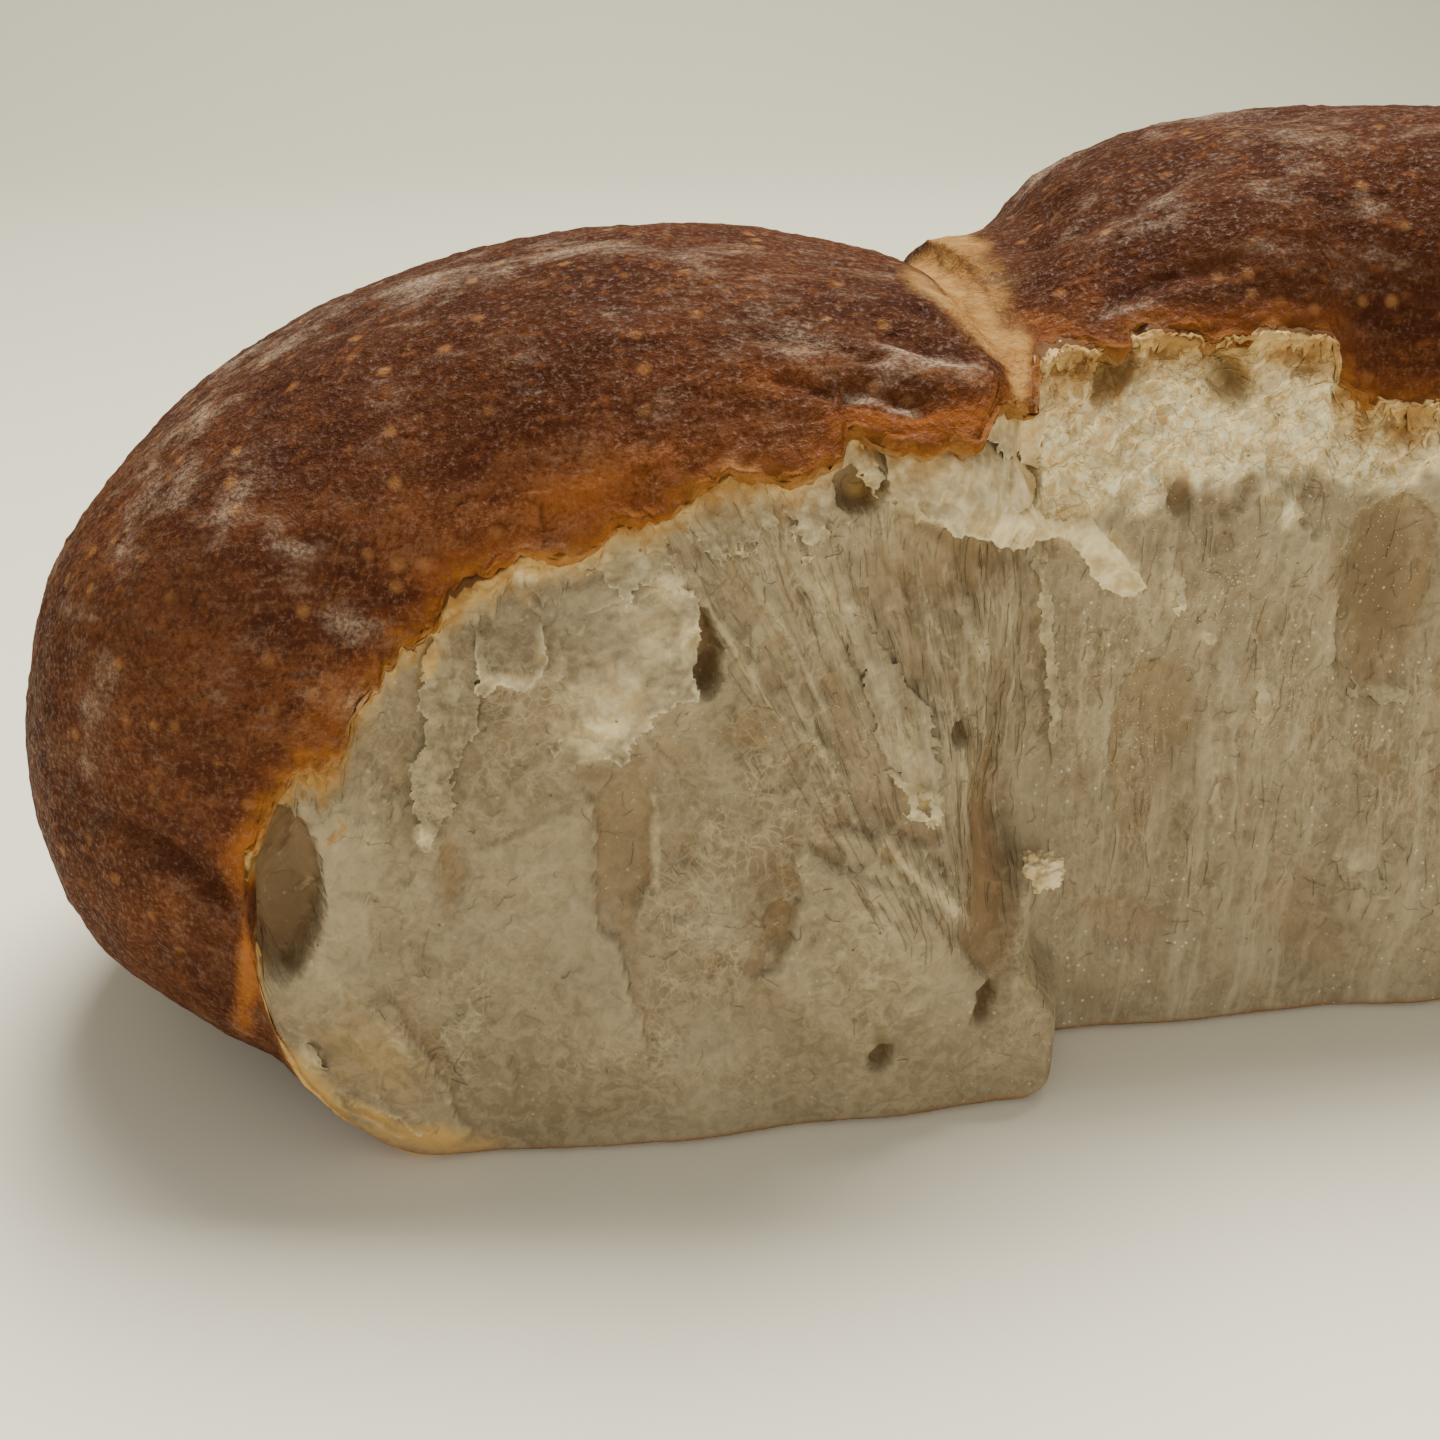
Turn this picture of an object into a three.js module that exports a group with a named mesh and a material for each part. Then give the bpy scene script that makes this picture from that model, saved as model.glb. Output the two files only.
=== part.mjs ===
// A joined pair of Swiss crusty rolls, torn along one long side from the pair they were baked against.
// Millimetres, +Z up. X runs along the pair, the torn side faces -Y, and the flat base lies on z = 0.
// The pair is one piece of bread: two crusted lobes that meet in a shallow valley, a ragged crust rim,
// and below it the torn crumb with its pulled hollows, film flaps and the recess between the two rolls.
import * as THREE from "three";
import { mergeVertices } from "three/addons/utils/BufferGeometryUtils.js";

// Driving dimensions.
const LENGTH = 172;
const END = LENGTH / 2;
const SEAM_X = -3;

// Each lobe: the middle of its plan and of its crown, how far both reach to the outer end and towards
// the other lobe, its crown height, the level where it is widest, and its depth from the widest line.
const LEFT = {
  middle: -42, toEnd: 44, toSeam: 62,
  crownAt: -28, crownToEnd: 58, crownToSeam: 59, crown: 68.2, crownPower: 2.05,
  widest: 24, widestY: -8, back: 44, front: 35,
};
const RIGHT = {
  middle: 42, toEnd: 44, toSeam: 64,
  crownAt: 38, crownToEnd: 48, crownToSeam: 57.4, crown: 76.6, crownPower: 2.3,
  widest: 26, widestY: 0, back: 41, front: 37.5,
};
const PLAN_POWER = 2.1;
const FRONT_POWER = 2.85;
const BACK_POWER = 2.2;
const UNDER_POWER = 2.4;
const UNDER_REACH = 1.12; // the underside's curve, cut off flat by the table
const END_LIFT = { share: 1.04, power: 0.9 };
const SEAM_ROUNDING = 4;
const BLEND_HALF = 26; // half the stretch over which the widest line moves from one lobe's to the other's
const SEAM_GROOVE = { depth: 1.6, width: 4 };

// The torn side: where it starts and ends, its rim, and the rounding of its lower corners.
const TORN = { left: -65.8, right: 72, leftY: -38.5, rightY: -28.5 };
const RIM_LEFT = { top: 61, middle: -7, reach: 58.8, power: 1.7 };
const RIM_RIGHT = { top: 62.8, middle: 14, reach: 58.4, power: 2.1, dip: 5.2, dipAt: 29, dipWidth: 6 };
const RIM_BELOW_CROWN = 0.975;
const LOWER_CORNER = { reach: 15.8, power: 2.3 };
// The right roll's face stands further back: where it steps back low down, how far the step moves
// towards the left roll higher up and over which heights, and half its width, low down and more above.
const STEP = { x: 0.8, lean: -6.6, from: 13, over: 13, width: 2.4, spread: 3.4 };
const LIP = { depth: 1.2, start: 1.2, fade: 7 }; // crumb shrunk back under the crust rim
const FOOT_ROUNDING = 1;

// Hollows and swells of the torn side: place and half-size in x and z, lean in degrees from upright,
// depth into the bread (negative stands out), and edge, 1 for a soft dish up to 6 for a sharp rim.
const TORN_FORMS = [
  { name: "end hole", x: -63.2, z: 24.3, rx: 3.0, rz: 6.9, lean: 4, depth: 8, edge: 4 },
  { name: "slit by the flap", x: -30.3, z: 42.4, rx: 1.7, rz: 3.8, lean: -6, depth: 4, edge: 2 },
  { name: "hole under the rim", x: -18.4, z: 54.2, rx: 2.6, rz: 2.3, lean: 0, depth: 5, edge: 2 },
  { name: "lens under the rim", x: -11.4, z: 56, rx: 6.4, rz: 2.3, lean: 0, depth: 3.6, edge: 2 },
  { name: "shade under the ribbon", x: -8.5, z: 47.4, rx: 8.5, rz: 3.4, lean: 0, depth: 2, edge: 1 },
  { name: "recess between the rolls", x: -6.6, z: 22.5, rx: 2.8, rz: 12.5, lean: 3, depth: 5.5, edge: 1 },
  { name: "pulled dish", x: -14, z: 42, rx: 9, rz: 13, lean: 24, depth: 2.4, edge: 1 },
  { name: "dish under the flap", x: -34.6, z: 27, rx: 4, rz: 7.5, lean: 8, depth: 2.1, edge: 2 },
  { name: "cell beside the pad", x: -25.8, z: 20, rx: 3, rz: 4.4, lean: 0, depth: 1.7, edge: 2 },
  { name: "dish in the left flank", x: -56, z: 20, rx: 5, rz: 5.5, lean: -35, depth: 1.4, edge: 1 },
  { name: "fold in the lower corner", x: -59.5, z: 9.5, rx: 3.4, rz: 6, lean: -35, depth: 1.8, edge: 1 },
  { name: "pit in the foot", x: -16, z: 7, rx: 1.6, rz: 1.9, lean: 0, depth: 2.4, edge: 1 },
  { name: "pit by the corner", x: -7, z: 10.4, rx: 1.7, rz: 2.4, lean: 0, depth: 2.4, edge: 1 },
  { name: "right pit one", x: 4.8, z: 59.2, rx: 3.2, rz: 1.9, lean: -60, depth: 2.6, edge: 1 },
  { name: "right pit two", x: 14, z: 58.7, rx: 3, rz: 2, lean: 50, depth: 2.6, edge: 1 },
  { name: "tall hollow", x: 29.6, z: 40, rx: 5, rz: 9.5, lean: 0, depth: 4, edge: 2 },
  { name: "oval hollow", x: 10.2, z: 26.6, rx: 4.4, rz: 9.6, lean: 0, depth: 1.9, edge: 2 },
  { name: "low hollow", x: 26, z: 8, rx: 6, rz: 3.4, lean: 40, depth: 1.8, edge: 1 },
  { name: "far dish", x: 46, z: 30, rx: 5, rz: 10, lean: -6, depth: 2.6, edge: 2 },
  { name: "far cell", x: 56, z: 38, rx: 3.4, rz: 5.4, lean: -14, depth: 3, edge: 2 },
  { name: "far low dish", x: 56, z: 15, rx: 6, rz: 5, lean: 20, depth: 1.8, edge: 1 },
  { name: "far end hole", x: 67.6, z: 25, rx: 2.8, rz: 5.6, lean: -6, depth: 6, edge: 3 },
  { name: "belly of the left roll", x: -31, z: 7, rx: 27, rz: 14, lean: 0, depth: -2.9, edge: 1 },
  { name: "belly of the right roll", x: 38, z: 9, rx: 30, rz: 14, lean: 0, depth: -1.8, edge: 1 },
  { name: "pad", x: -17.6, z: 17, rx: 7.4, rz: 10.5, lean: -16, depth: -1.7, edge: 2 },
  { name: "nub between the rolls", x: -1.8, z: 18.5, rx: 3.2, rz: 6, lean: -10, depth: -1.6, edge: 1 },
  { name: "film flap", x: -36, z: 41.6, rx: 5.8, rz: 7.6, lean: -12, depth: -1.9, edge: 2 },
  { name: "ring flap", x: -44.6, z: 45, rx: 3.2, rz: 5, lean: -20, depth: -1.3, edge: 2 },
  { name: "hanging strip", x: -50.6, z: 37, rx: 2.4, rz: 9, lean: 9, depth: -1.3, edge: 2 },
  { name: "pulled strip", x: -16.6, z: 38.5, rx: 2.3, rz: 10.5, lean: -22, depth: -2, edge: 2 },
  { name: "ribbon", x: -8.6, z: 51.6, rx: 2.3, rz: 9.5, lean: -73, depth: -3.4, edge: 2 },
  { name: "ribbon end", x: 1.2, z: 47.6, rx: 2.1, rz: 4.8, lean: -44, depth: -2.8, edge: 2 },
  { name: "far strip", x: 38.5, z: 36, rx: 2.2, rz: 12, lean: 5, depth: -1.4, edge: 2 },
  { name: "far flap", x: 52.5, z: 46, rx: 3.4, rz: 4.6, lean: 10, depth: -1.6, edge: 2 },
];

// Folds pressed into the crust: a line from one point to the other, its half-width and its depth.
const CRUST_FOLDS = [
  { name: "floury fold by the tip", from: [-20, -29, 66], to: [-8, -37, 61.5], half: 2.3, depth: 1.5 },
  { name: "second fold by the tip", from: [-27, -33, 61.5], to: [-11, -37.5, 59.5], half: 2.1, depth: 0.9 },
  { name: "crease by the left end", from: [-81.5, -21, 28.5], to: [-66.5, -37.5, 22], half: 2.2, depth: 1 },
];
const CRUST_UNEVEN = [
  { wave: 62, height: 1.2, seed: 3 },
  { wave: 27, height: 0.55, seed: 8 },
];
const TORN_UNEVEN = [
  { wave: 30, height: 0.7, seed: 5 },
  { wave: 13, height: 0.45, seed: 12 },
];

// Mesh density: stations along the pair, and points round each section.
const STATIONS = 100;
const POINTS = { torn: 28, top: 10, back: 14, base: 6 };
const END_CROWDING = 0.1125;
const END_CROWDING_POWER = 9;
const LEAST_TORN_HALF = 5; // where the torn side closes to a point, its rows keep this half-height

const clamp = (v, low, high) => Math.min(high, Math.max(low, v));
const mix = (a, b, t) => a + (b - a) * t;

function smooth(t) {
  const c = clamp(t, 0, 1);
  return c * c * (3 - 2 * c);
}

// The larger of two values, rounded over where they cross.
function smoothMax(a, b, rounding) {
  const h = Math.max(rounding - Math.abs(a - b), 0) / rounding;
  return Math.max(a, b) + h * h * rounding * 0.25;
}

// Height of a superellipse of height 1 at a distance from its middle, given as a share of its reach.
function arch(share, power) {
  const s = Math.min(Math.abs(share), 1);
  return Math.pow(1 - Math.pow(s, power), 1 / power);
}

// Smooth unevenness between -1 and 1, from waves that cross in space.
function uneven(x, y, z, wave, seed) {
  let sum = 0;
  for (let k = 1; k <= 4; k++) {
    const turn = seed * 1.7 + k * 2.4;
    const rise = Math.sin(seed * 0.9 + k * 1.3);
    const flat = Math.sqrt(1 - rise * rise);
    const pace = ((2 * Math.PI) / wave) * (1 + 0.23 * k);
    const along = x * Math.cos(turn) * flat + y * Math.sin(turn) * flat + z * rise;
    sum += Math.sin(pace * along + seed * k);
  }
  return sum / 4;
}

function layers(list, x, y, z) {
  return list.reduce((sum, u) => sum + u.height * uneven(x, y, z, u.wave, u.seed), 0);
}

// Plan profile of a lobe at x, 1 in its middle and 0 at its outer end.
function planOf(lobe, side, x) {
  const out = (x - lobe.middle) * side;
  return arch(out / (out > 0 ? lobe.toEnd : lobe.toSeam), PLAN_POWER);
}

// Height above the widest level of a lobe's crown at x.
function crownOf(lobe, side, x) {
  const out = (x - lobe.crownAt) * side;
  const rise = arch(out / (out > 0 ? lobe.crownToEnd : lobe.crownToSeam), lobe.crownPower);
  return (lobe.crown - lobe.widest) * rise;
}

// Height of the pair's crown above the widest level, with the groove between the lobes.
function crownRise(x) {
  const groove = SEAM_GROOVE.depth * Math.exp(-(((x - SEAM_X) / SEAM_GROOVE.width) ** 2));
  return smoothMax(crownOf(LEFT, -1, x), crownOf(RIGHT, 1, x), SEAM_ROUNDING) - groove;
}

// Height of the torn side's rim. In the groove it lies just under the crown.
function rimHeight(x) {
  const widest = widestLevel(x);
  const rimOf = (side) => widest + (side.top - widest) * arch((x - side.middle) / side.reach, side.power);
  const dip = RIM_RIGHT.dip * Math.exp(-(((x - RIM_RIGHT.dipAt) / RIM_RIGHT.dipWidth) ** 2));
  const left = rimOf(RIM_LEFT);
  const right = rimOf(RIM_RIGHT) - dip;
  const rim = mix(left, right, smooth((x - SEAM_X + 4) / 3));
  return -smoothMax(-rim, -(widest + RIM_BELOW_CROWN * crownRise(x)), 2);
}

// Height of the torn side's lower edge: on the table, but for its two rounded lower corners.
function footHeight(x) {
  const fromEnd = Math.min(x - TORN.left, TORN.right - x);
  const share = 1 - fromEnd / LOWER_CORNER.reach;
  return share > 0 ? widestLevel(x) * (1 - arch(share, LOWER_CORNER.power)) : 0;
}

function widestLevel(x) {
  return mix(LEFT.widest, RIGHT.widest, smooth((x + 30) / 60));
}

// What one hollow or swell adds to the depth of the torn side.
function formDepth(form, x, z) {
  const lean = THREE.MathUtils.degToRad(form.lean);
  const dx = x - form.x;
  const dz = z - form.z;
  const across = (dx * Math.cos(lean) - dz * Math.sin(lean)) / form.rx;
  const along = (dx * Math.sin(lean) + dz * Math.cos(lean)) / form.rz;
  return form.depth * Math.exp(-Math.pow(across * across + along * along, form.edge));
}

// The torn side's y at a place on it. Larger is further into the bread.
function tornY(x, z) {
  const high = smooth((z - STEP.from) / STEP.over);
  const stepAt = STEP.x + STEP.lean * high;
  const back = smooth(0.5 + (x - stepAt) / (2 * (STEP.width + STEP.spread * high)));
  const foot = clamp(1 - z / FOOT_ROUNDING, 0, 1);
  const below = Math.max(rimHeight(x) - z, 0);
  const lip = LIP.depth * smooth(below / LIP.start) * Math.exp(-below / LIP.fade);
  const forms = TORN_FORMS.reduce((sum, form) => sum + formDepth(form, x, z), 0);
  const fade = smooth(below / 3); // the rim itself stays clean
  return (
    mix(TORN.leftY, TORN.rightY, back) +
    FOOT_ROUNDING * (1 - Math.sqrt(1 - foot * foot)) +
    lip +
    fade * (forms + layers(TORN_UNEVEN, x, 0, z * 0.6))
  );
}

// The section's driving values at one station. Its underside lifts off the table towards the two ends.
function sectionAt(x) {
  const planLeft = planOf(LEFT, -1, x);
  const planRight = planOf(RIGHT, 1, x);
  const plan = Math.max(planLeft, planRight);
  const widest = widestLevel(x);
  const middleY = mix(LEFT.widestY, RIGHT.widestY, smooth(0.5 + (x - SEAM_X) / (2 * BLEND_HALF)));
  const backLeft = LEFT.widestY + LEFT.back * planLeft;
  const backRight = RIGHT.widestY + RIGHT.back * planRight;
  const back = smoothMax(backLeft, backRight, SEAM_ROUNDING) - middleY;
  const crown = crownRise(x);
  const outer = x < LEFT.middle || x > RIGHT.middle;
  const lift = outer ? Math.min(1, END_LIFT.share * Math.pow(plan, END_LIFT.power)) : 1;
  const under = widest * UNDER_REACH * lift;
  const free = (x < 0 ? LEFT.front : RIGHT.front) * plan;
  const rim = widest + LEAST_TORN_HALF * plan;
  const foot = widest - LEAST_TORN_HALF * plan;
  const torn = x > TORN.left && x < TORN.right;
  const outline = { x, widest, middleY, back, crown, under, torn };
  if (!torn) return { ...outline, front: free, frontUnder: free, rim, foot };
  const cutRim = rimHeight(x);
  const cutFoot = footHeight(x);
  return {
    ...outline,
    front: (middleY - tornY(x, cutRim)) / arch((cutRim - widest) / crown, FRONT_POWER),
    frontUnder: (middleY - tornY(x, cutFoot)) / arch((widest - cutFoot) / under, UNDER_POWER),
    rim: Math.max(rim, cutRim),
    foot: Math.min(foot, cutFoot),
  };
}

// The untorn front of the crust at a height, for a section.
function bodyFrontY(s, z) {
  const up = z - s.widest;
  return up > 0
    ? s.middleY - s.front * arch(up / s.crown, FRONT_POWER)
    : s.middleY - s.frontUnder * arch(-up / s.under, UNDER_POWER);
}

// Points spread evenly along a finely stepped line of [y, z] points, both ends included.
function evenly(line, count) {
  const at = [0];
  for (let i = 1; i < line.length; i++)
    at.push(at[i - 1] + Math.hypot(line[i][0] - line[i - 1][0], line[i][1] - line[i - 1][1]));
  const total = at[at.length - 1];
  const found = [];
  let i = 1;
  for (let k = 0; k < count; k++) {
    const want = (total * k) / (count - 1);
    while (i < line.length - 1 && at[i] < want) i++;
    const share = at[i] > at[i - 1] ? (want - at[i - 1]) / (at[i] - at[i - 1]) : 0;
    found.push([mix(line[i - 1][0], line[i][0], share), mix(line[i - 1][1], line[i][1], share)]);
  }
  return found;
}

// A quarter of a superellipse from one angle to another, in degrees, as a finely stepped line.
function quarter(middleY, level, reach, rise, power, fromDeg, toDeg) {
  const steps = 60;
  return Array.from({ length: steps + 1 }, (_, i) => {
    const a = THREE.MathUtils.degToRad(mix(fromDeg, toDeg, i / steps));
    const out = Math.pow(Math.max(Math.cos(a), 0), 2 / power);
    const up = Math.pow(Math.max(Math.sin(a), 0), 2 / power);
    return [middleY + reach * out, Math.max(level + rise * up, 0)];
  });
}

// One closed ring of points round the bread at a station: the torn side upwards, the crust over the
// crown and down the back, then the base forwards to the foot of the torn side.
function ringAt(x) {
  const s = sectionAt(x);
  const ring = [];
  for (let i = 0; i < POINTS.torn; i++) {
    const z = mix(s.foot, s.rim, i / (POINTS.torn - 1));
    const body = bodyFrontY(s, z);
    ring.push([s.torn ? Math.max(body, tornY(x, z)) : body, z]);
  }
  const rimShare = clamp((s.rim - s.widest) / s.crown, 0, 1);
  const rimAngle = THREE.MathUtils.radToDeg(Math.asin(Math.pow(rimShare, FRONT_POWER / 2)));
  const top = quarter(s.middleY, s.widest, -s.front, s.crown, FRONT_POWER, rimAngle, 90);
  ring.push(...evenly(top, POINTS.top + 1).slice(1));
  const back = [
    ...quarter(s.middleY, s.widest, s.back, s.crown, BACK_POWER, 90, 0),
    ...quarter(s.middleY, s.widest, s.back, -s.under, UNDER_POWER, 0, 90),
  ];
  const backEdge = back.findIndex(([, z]) => z <= 0);
  const backLine = backEdge > 0 ? back.slice(0, backEdge + 1) : back;
  ring.push(...evenly(backLine, POINTS.back + 1).slice(1));
  const footShare = clamp((s.widest - s.foot) / s.under, 0, 1);
  const footAngle = THREE.MathUtils.radToDeg(Math.asin(Math.pow(footShare, UNDER_POWER / 2)));
  const base = [backLine[backLine.length - 1],
    ...quarter(s.middleY, s.widest, -s.frontUnder, -s.under, UNDER_POWER, 90, footAngle)];
  ring.push(...evenly(base, POINTS.base + 2).slice(1, -1));
  return ring.map(([y, z], i) => (i < POINTS.torn && s.torn ? [x, y, z] : withCrustRelief(s, y, z)));
}

// How deep the crust's folds are pressed in at a point.
function foldDepth(x, y, z) {
  const point = new THREE.Vector3(x, y, z);
  return CRUST_FOLDS.reduce((sum, fold) => {
    const line = new THREE.Line3(new THREE.Vector3(...fold.from), new THREE.Vector3(...fold.to));
    const near = line.closestPointToPoint(point, true, new THREE.Vector3());
    return sum + fold.depth * Math.exp(-((near.distanceTo(point) / fold.half) ** 2));
  }, 0);
}

// The crust's unevenness and folds, pushed out of or into the section. The base stays flat.
function withCrustRelief(s, y, z) {
  const out = new THREE.Vector2(y - s.middleY, z - s.widest);
  const size = out.length();
  const rise = smooth(z / 8) * smooth(size / 12);
  const push = rise * (layers(CRUST_UNEVEN, s.x, y, z) - foldDepth(s.x, y, z));
  out.multiplyScalar((size + push) / Math.max(size, 1e-6));
  return [s.x, s.middleY + out.x, Math.max(s.widest + out.y, 0)];
}

// Stations along the pair, closer together towards its rounded ends.
function stationX(i) {
  const t = mix(-1, 1, i / STATIONS);
  return END * ((1 + END_CROWDING) * t - END_CROWDING * Math.sign(t) * Math.abs(t) ** END_CROWDING_POWER);
}

function pairGeometry() {
  const points = [];
  const faces = [];
  for (let i = 1; i < STATIONS; i++) points.push(...ringAt(stationX(i)));
  const round = points.length / (STATIONS - 1);
  for (let i = 0; i < STATIONS - 2; i++)
    for (let k = 0; k < round; k++) {
      const a = i * round + k;
      const b = i * round + ((k + 1) % round);
      faces.push(a, a + round, b, b, a + round, b + round);
    }
  const leftPole = points.push([-END, LEFT.widestY, LEFT.widest]) - 1;
  const rightPole = points.push([END, RIGHT.widestY, RIGHT.widest]) - 1;
  const last = (STATIONS - 2) * round;
  for (let k = 0; k < round; k++) {
    const next = (k + 1) % round;
    faces.push(leftPole, k, next, rightPole, last + next, last + k);
  }
  const geometry = new THREE.BufferGeometry();
  geometry.setAttribute("position", new THREE.Float32BufferAttribute(points.flat(), 3));
  geometry.setIndex(faces);
  return mergeVertices(geometry, 1e-3);
}

// Puts the middle of the base's box at the origin.
function standOnOrigin(geometry) {
  geometry.computeBoundingBox();
  const middle = geometry.boundingBox.getCenter(new THREE.Vector3());
  geometry.translate(-middle.x, -middle.y, -geometry.boundingBox.min.z);
  geometry.computeVertexNormals();
  return geometry;
}

const crust = new THREE.MeshStandardMaterial({ color: 0x7a3f1c, roughness: 0.55, metalness: 0 });

const pair = new THREE.Mesh(standOnOrigin(pairGeometry()), crust);
pair.name = "burli_roll";

const part = new THREE.Group();
part.add(pair);

export default part;
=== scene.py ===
# A joined pair of torn crusty rolls: the crust as a shell with a broken rim, the torn crumb with its
# pulled films, strands and specks, and a plain stage.
# Shapes are worked out in millimetres in the frame of the part's source, and turned into metres where a
# mesh is made. X runs along the pair, the torn side faces -Y, and the base lies on z = 0.
import math

import bpy
import numpy as np
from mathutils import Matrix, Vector
from mathutils.kdtree import KDTree


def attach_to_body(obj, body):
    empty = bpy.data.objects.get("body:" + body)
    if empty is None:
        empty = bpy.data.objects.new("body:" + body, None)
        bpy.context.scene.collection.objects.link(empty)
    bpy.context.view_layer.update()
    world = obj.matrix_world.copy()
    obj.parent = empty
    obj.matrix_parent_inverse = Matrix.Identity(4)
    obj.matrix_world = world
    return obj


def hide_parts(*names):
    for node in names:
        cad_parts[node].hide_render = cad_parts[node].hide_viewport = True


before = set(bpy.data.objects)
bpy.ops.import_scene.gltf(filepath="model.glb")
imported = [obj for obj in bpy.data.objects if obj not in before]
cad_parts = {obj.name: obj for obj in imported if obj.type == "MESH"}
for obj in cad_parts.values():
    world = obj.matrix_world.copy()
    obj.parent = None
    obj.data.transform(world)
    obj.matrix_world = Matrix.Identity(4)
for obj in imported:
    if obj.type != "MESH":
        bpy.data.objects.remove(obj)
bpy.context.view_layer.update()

NODE = "burli_roll"
BODY = "root"
MM = 0.001
SHIFT_Y = 0.86  # the source centres the part on its box, which moves it back by this

# The camera, found from the photograph, in the source's frame. Features below are placed by their
# pixels in the square photograph, on the surface that carries them.
EYE = np.array([-50.9, -176.3, 96.0])
EYE_DOWN = math.radians(23)
EYE_TURN = math.radians(9)
FIELD = math.radians(40)
PICTURE = 1440
FOCAL = PICTURE / 2 / math.tan(FIELD / 2)
AHEAD = np.array([math.sin(EYE_TURN) * math.cos(EYE_DOWN), math.cos(EYE_TURN) * math.cos(EYE_DOWN),
                  -math.sin(EYE_DOWN)])
ASIDE = np.array([math.cos(EYE_TURN), -math.sin(EYE_TURN), 0.0])
ABOVE = np.cross(ASIDE, AHEAD)

# Driving dimensions, as in the part's source.
END = 86.0
SEAM_X = -3.0
LEFT = dict(middle=-42, to_end=44, to_seam=62, crown_at=-28, crown_end=58, crown_seam=59, crown=68.2,
            power=2.05, widest=24, widest_y=-8, back=44, front=35)
RIGHT = dict(middle=42, to_end=44, to_seam=64, crown_at=38, crown_end=48, crown_seam=57.4, crown=76.6,
             power=2.3, widest=26, widest_y=0, back=41, front=37.5)
PLAN_POWER = 2.1
FRONT_POWER = 2.85
BACK_POWER = 2.2
UNDER_POWER = 2.4
UNDER_REACH = 1.12
SEAM_ROUNDING = 4
BLEND_HALF = 26
TORN_ENDS = (-65.8, 72.0)
TORN_LEFT_Y = -38.5
TORN_RIGHT_Y = -28.5
OPEN_HALF = 5.0  # the crust is open at least this far above and below its widest line
RIM_LEFT = dict(top=61, middle=-7, reach=58.8, power=1.7)
RIM_RIGHT = dict(top=62.8, middle=14, reach=58.4, power=2.1)


def clamp(v, low, high):
    return np.minimum(np.maximum(v, low), high)


def mix(a, b, t):
    return a + (b - a) * t


def smooth(t):
    c = clamp(t, 0, 1)
    return c * c * (3 - 2 * c)


def ramp(v, start, end):
    """0 before start, 1 after end, with a soft way between them."""
    return smooth((v - start) / (end - start))


def bell(v, middle, half):
    return np.exp(-(((v - middle) / half) ** 2))


def unit(vectors):
    return vectors / np.maximum(np.linalg.norm(vectors, axis=-1, keepdims=True), 1e-9)


def smooth_max(a, b, rounding):
    h = np.maximum(rounding - np.abs(a - b), 0) / rounding
    return np.maximum(a, b) + h * h * rounding * 0.25


def arch(share, power):
    s = clamp(np.abs(share), 0, 1)
    return (1 - s ** power) ** (1 / power)


def seen(pixels, plane_y):
    """x and z where pixels of the picture meet the upright plane at plane_y."""
    px = np.asarray(pixels, float)
    ray = AHEAD + ASIDE * (px[:, :1] - PICTURE / 2) / FOCAL - ABOVE * (px[:, 1:] - PICTURE / 2) / FOCAL
    place = EYE + ray * ((plane_y - EYE[1]) / ray[:, 1])[:, None]
    return place[:, [0, 2]]


def pictured(points):
    """The picture's pixels of points in the source's frame."""
    out = points - EYE
    deep = out @ AHEAD
    return PICTURE / 2 + FOCAL * (out @ ASIDE) / deep, PICTURE / 2 - FOCAL * (out @ ABOVE) / deep


# Noise in numpy: gradient noise, its sums, and cells round scattered points.
TABLE = 512


class Noise:
    """Smooth gradient noise in three dimensions, about -1 to 1, from one seed."""

    def __init__(self, seed):
        draw = np.random.default_rng(seed)
        self.order = draw.permutation(TABLE)
        slopes = draw.normal(size=(TABLE, 3))
        self.slopes = slopes / np.linalg.norm(slopes, axis=1)[:, None]

    def index(self, ix, iy, iz):
        first = self.order[ix % TABLE]
        second = self.order[(first + iy) % TABLE]
        return self.order[(second + iz) % TABLE]

    def __call__(self, x, y, z):
        x, y, z = np.broadcast_arrays(x, y, z)
        low = [np.floor(v).astype(np.int64) for v in (x, y, z)]
        part = [v - i for v, i in zip((x, y, z), low)]
        ease = [p * p * p * (p * (p * 6 - 15) + 10) for p in part]
        total = 0
        for corner in range(8):
            step = [corner >> k & 1 for k in range(3)]
            slope = self.slopes[self.index(*(i + s for i, s in zip(low, step)))]
            weight = 1
            reach = 0
            for k in range(3):
                weight = weight * (ease[k] if step[k] else 1 - ease[k])
                reach = reach + slope[..., k] * (part[k] - step[k])
            total = total + weight * reach
        return total * 1.6


noise = Noise(41)


def octaves(x, y, z, count=4, gain=0.5):
    return sum(gain ** k * noise(x * 2 ** k + 17 * k, y * 2 ** k - 9 * k, z * 2 ** k + 5 * k)
               for k in range(count))


def ridges(x, y, z, count=3, gain=0.5):
    """Thin raised lines, up to 1."""
    total = sum(gain ** k * (1 - 2 * np.abs(noise(x * 2 ** k + 3 * k, y * 2 ** k, z * 2 ** k + 8 * k)))
                for k in range(count))
    return total / sum(gain ** k for k in range(count))


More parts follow.
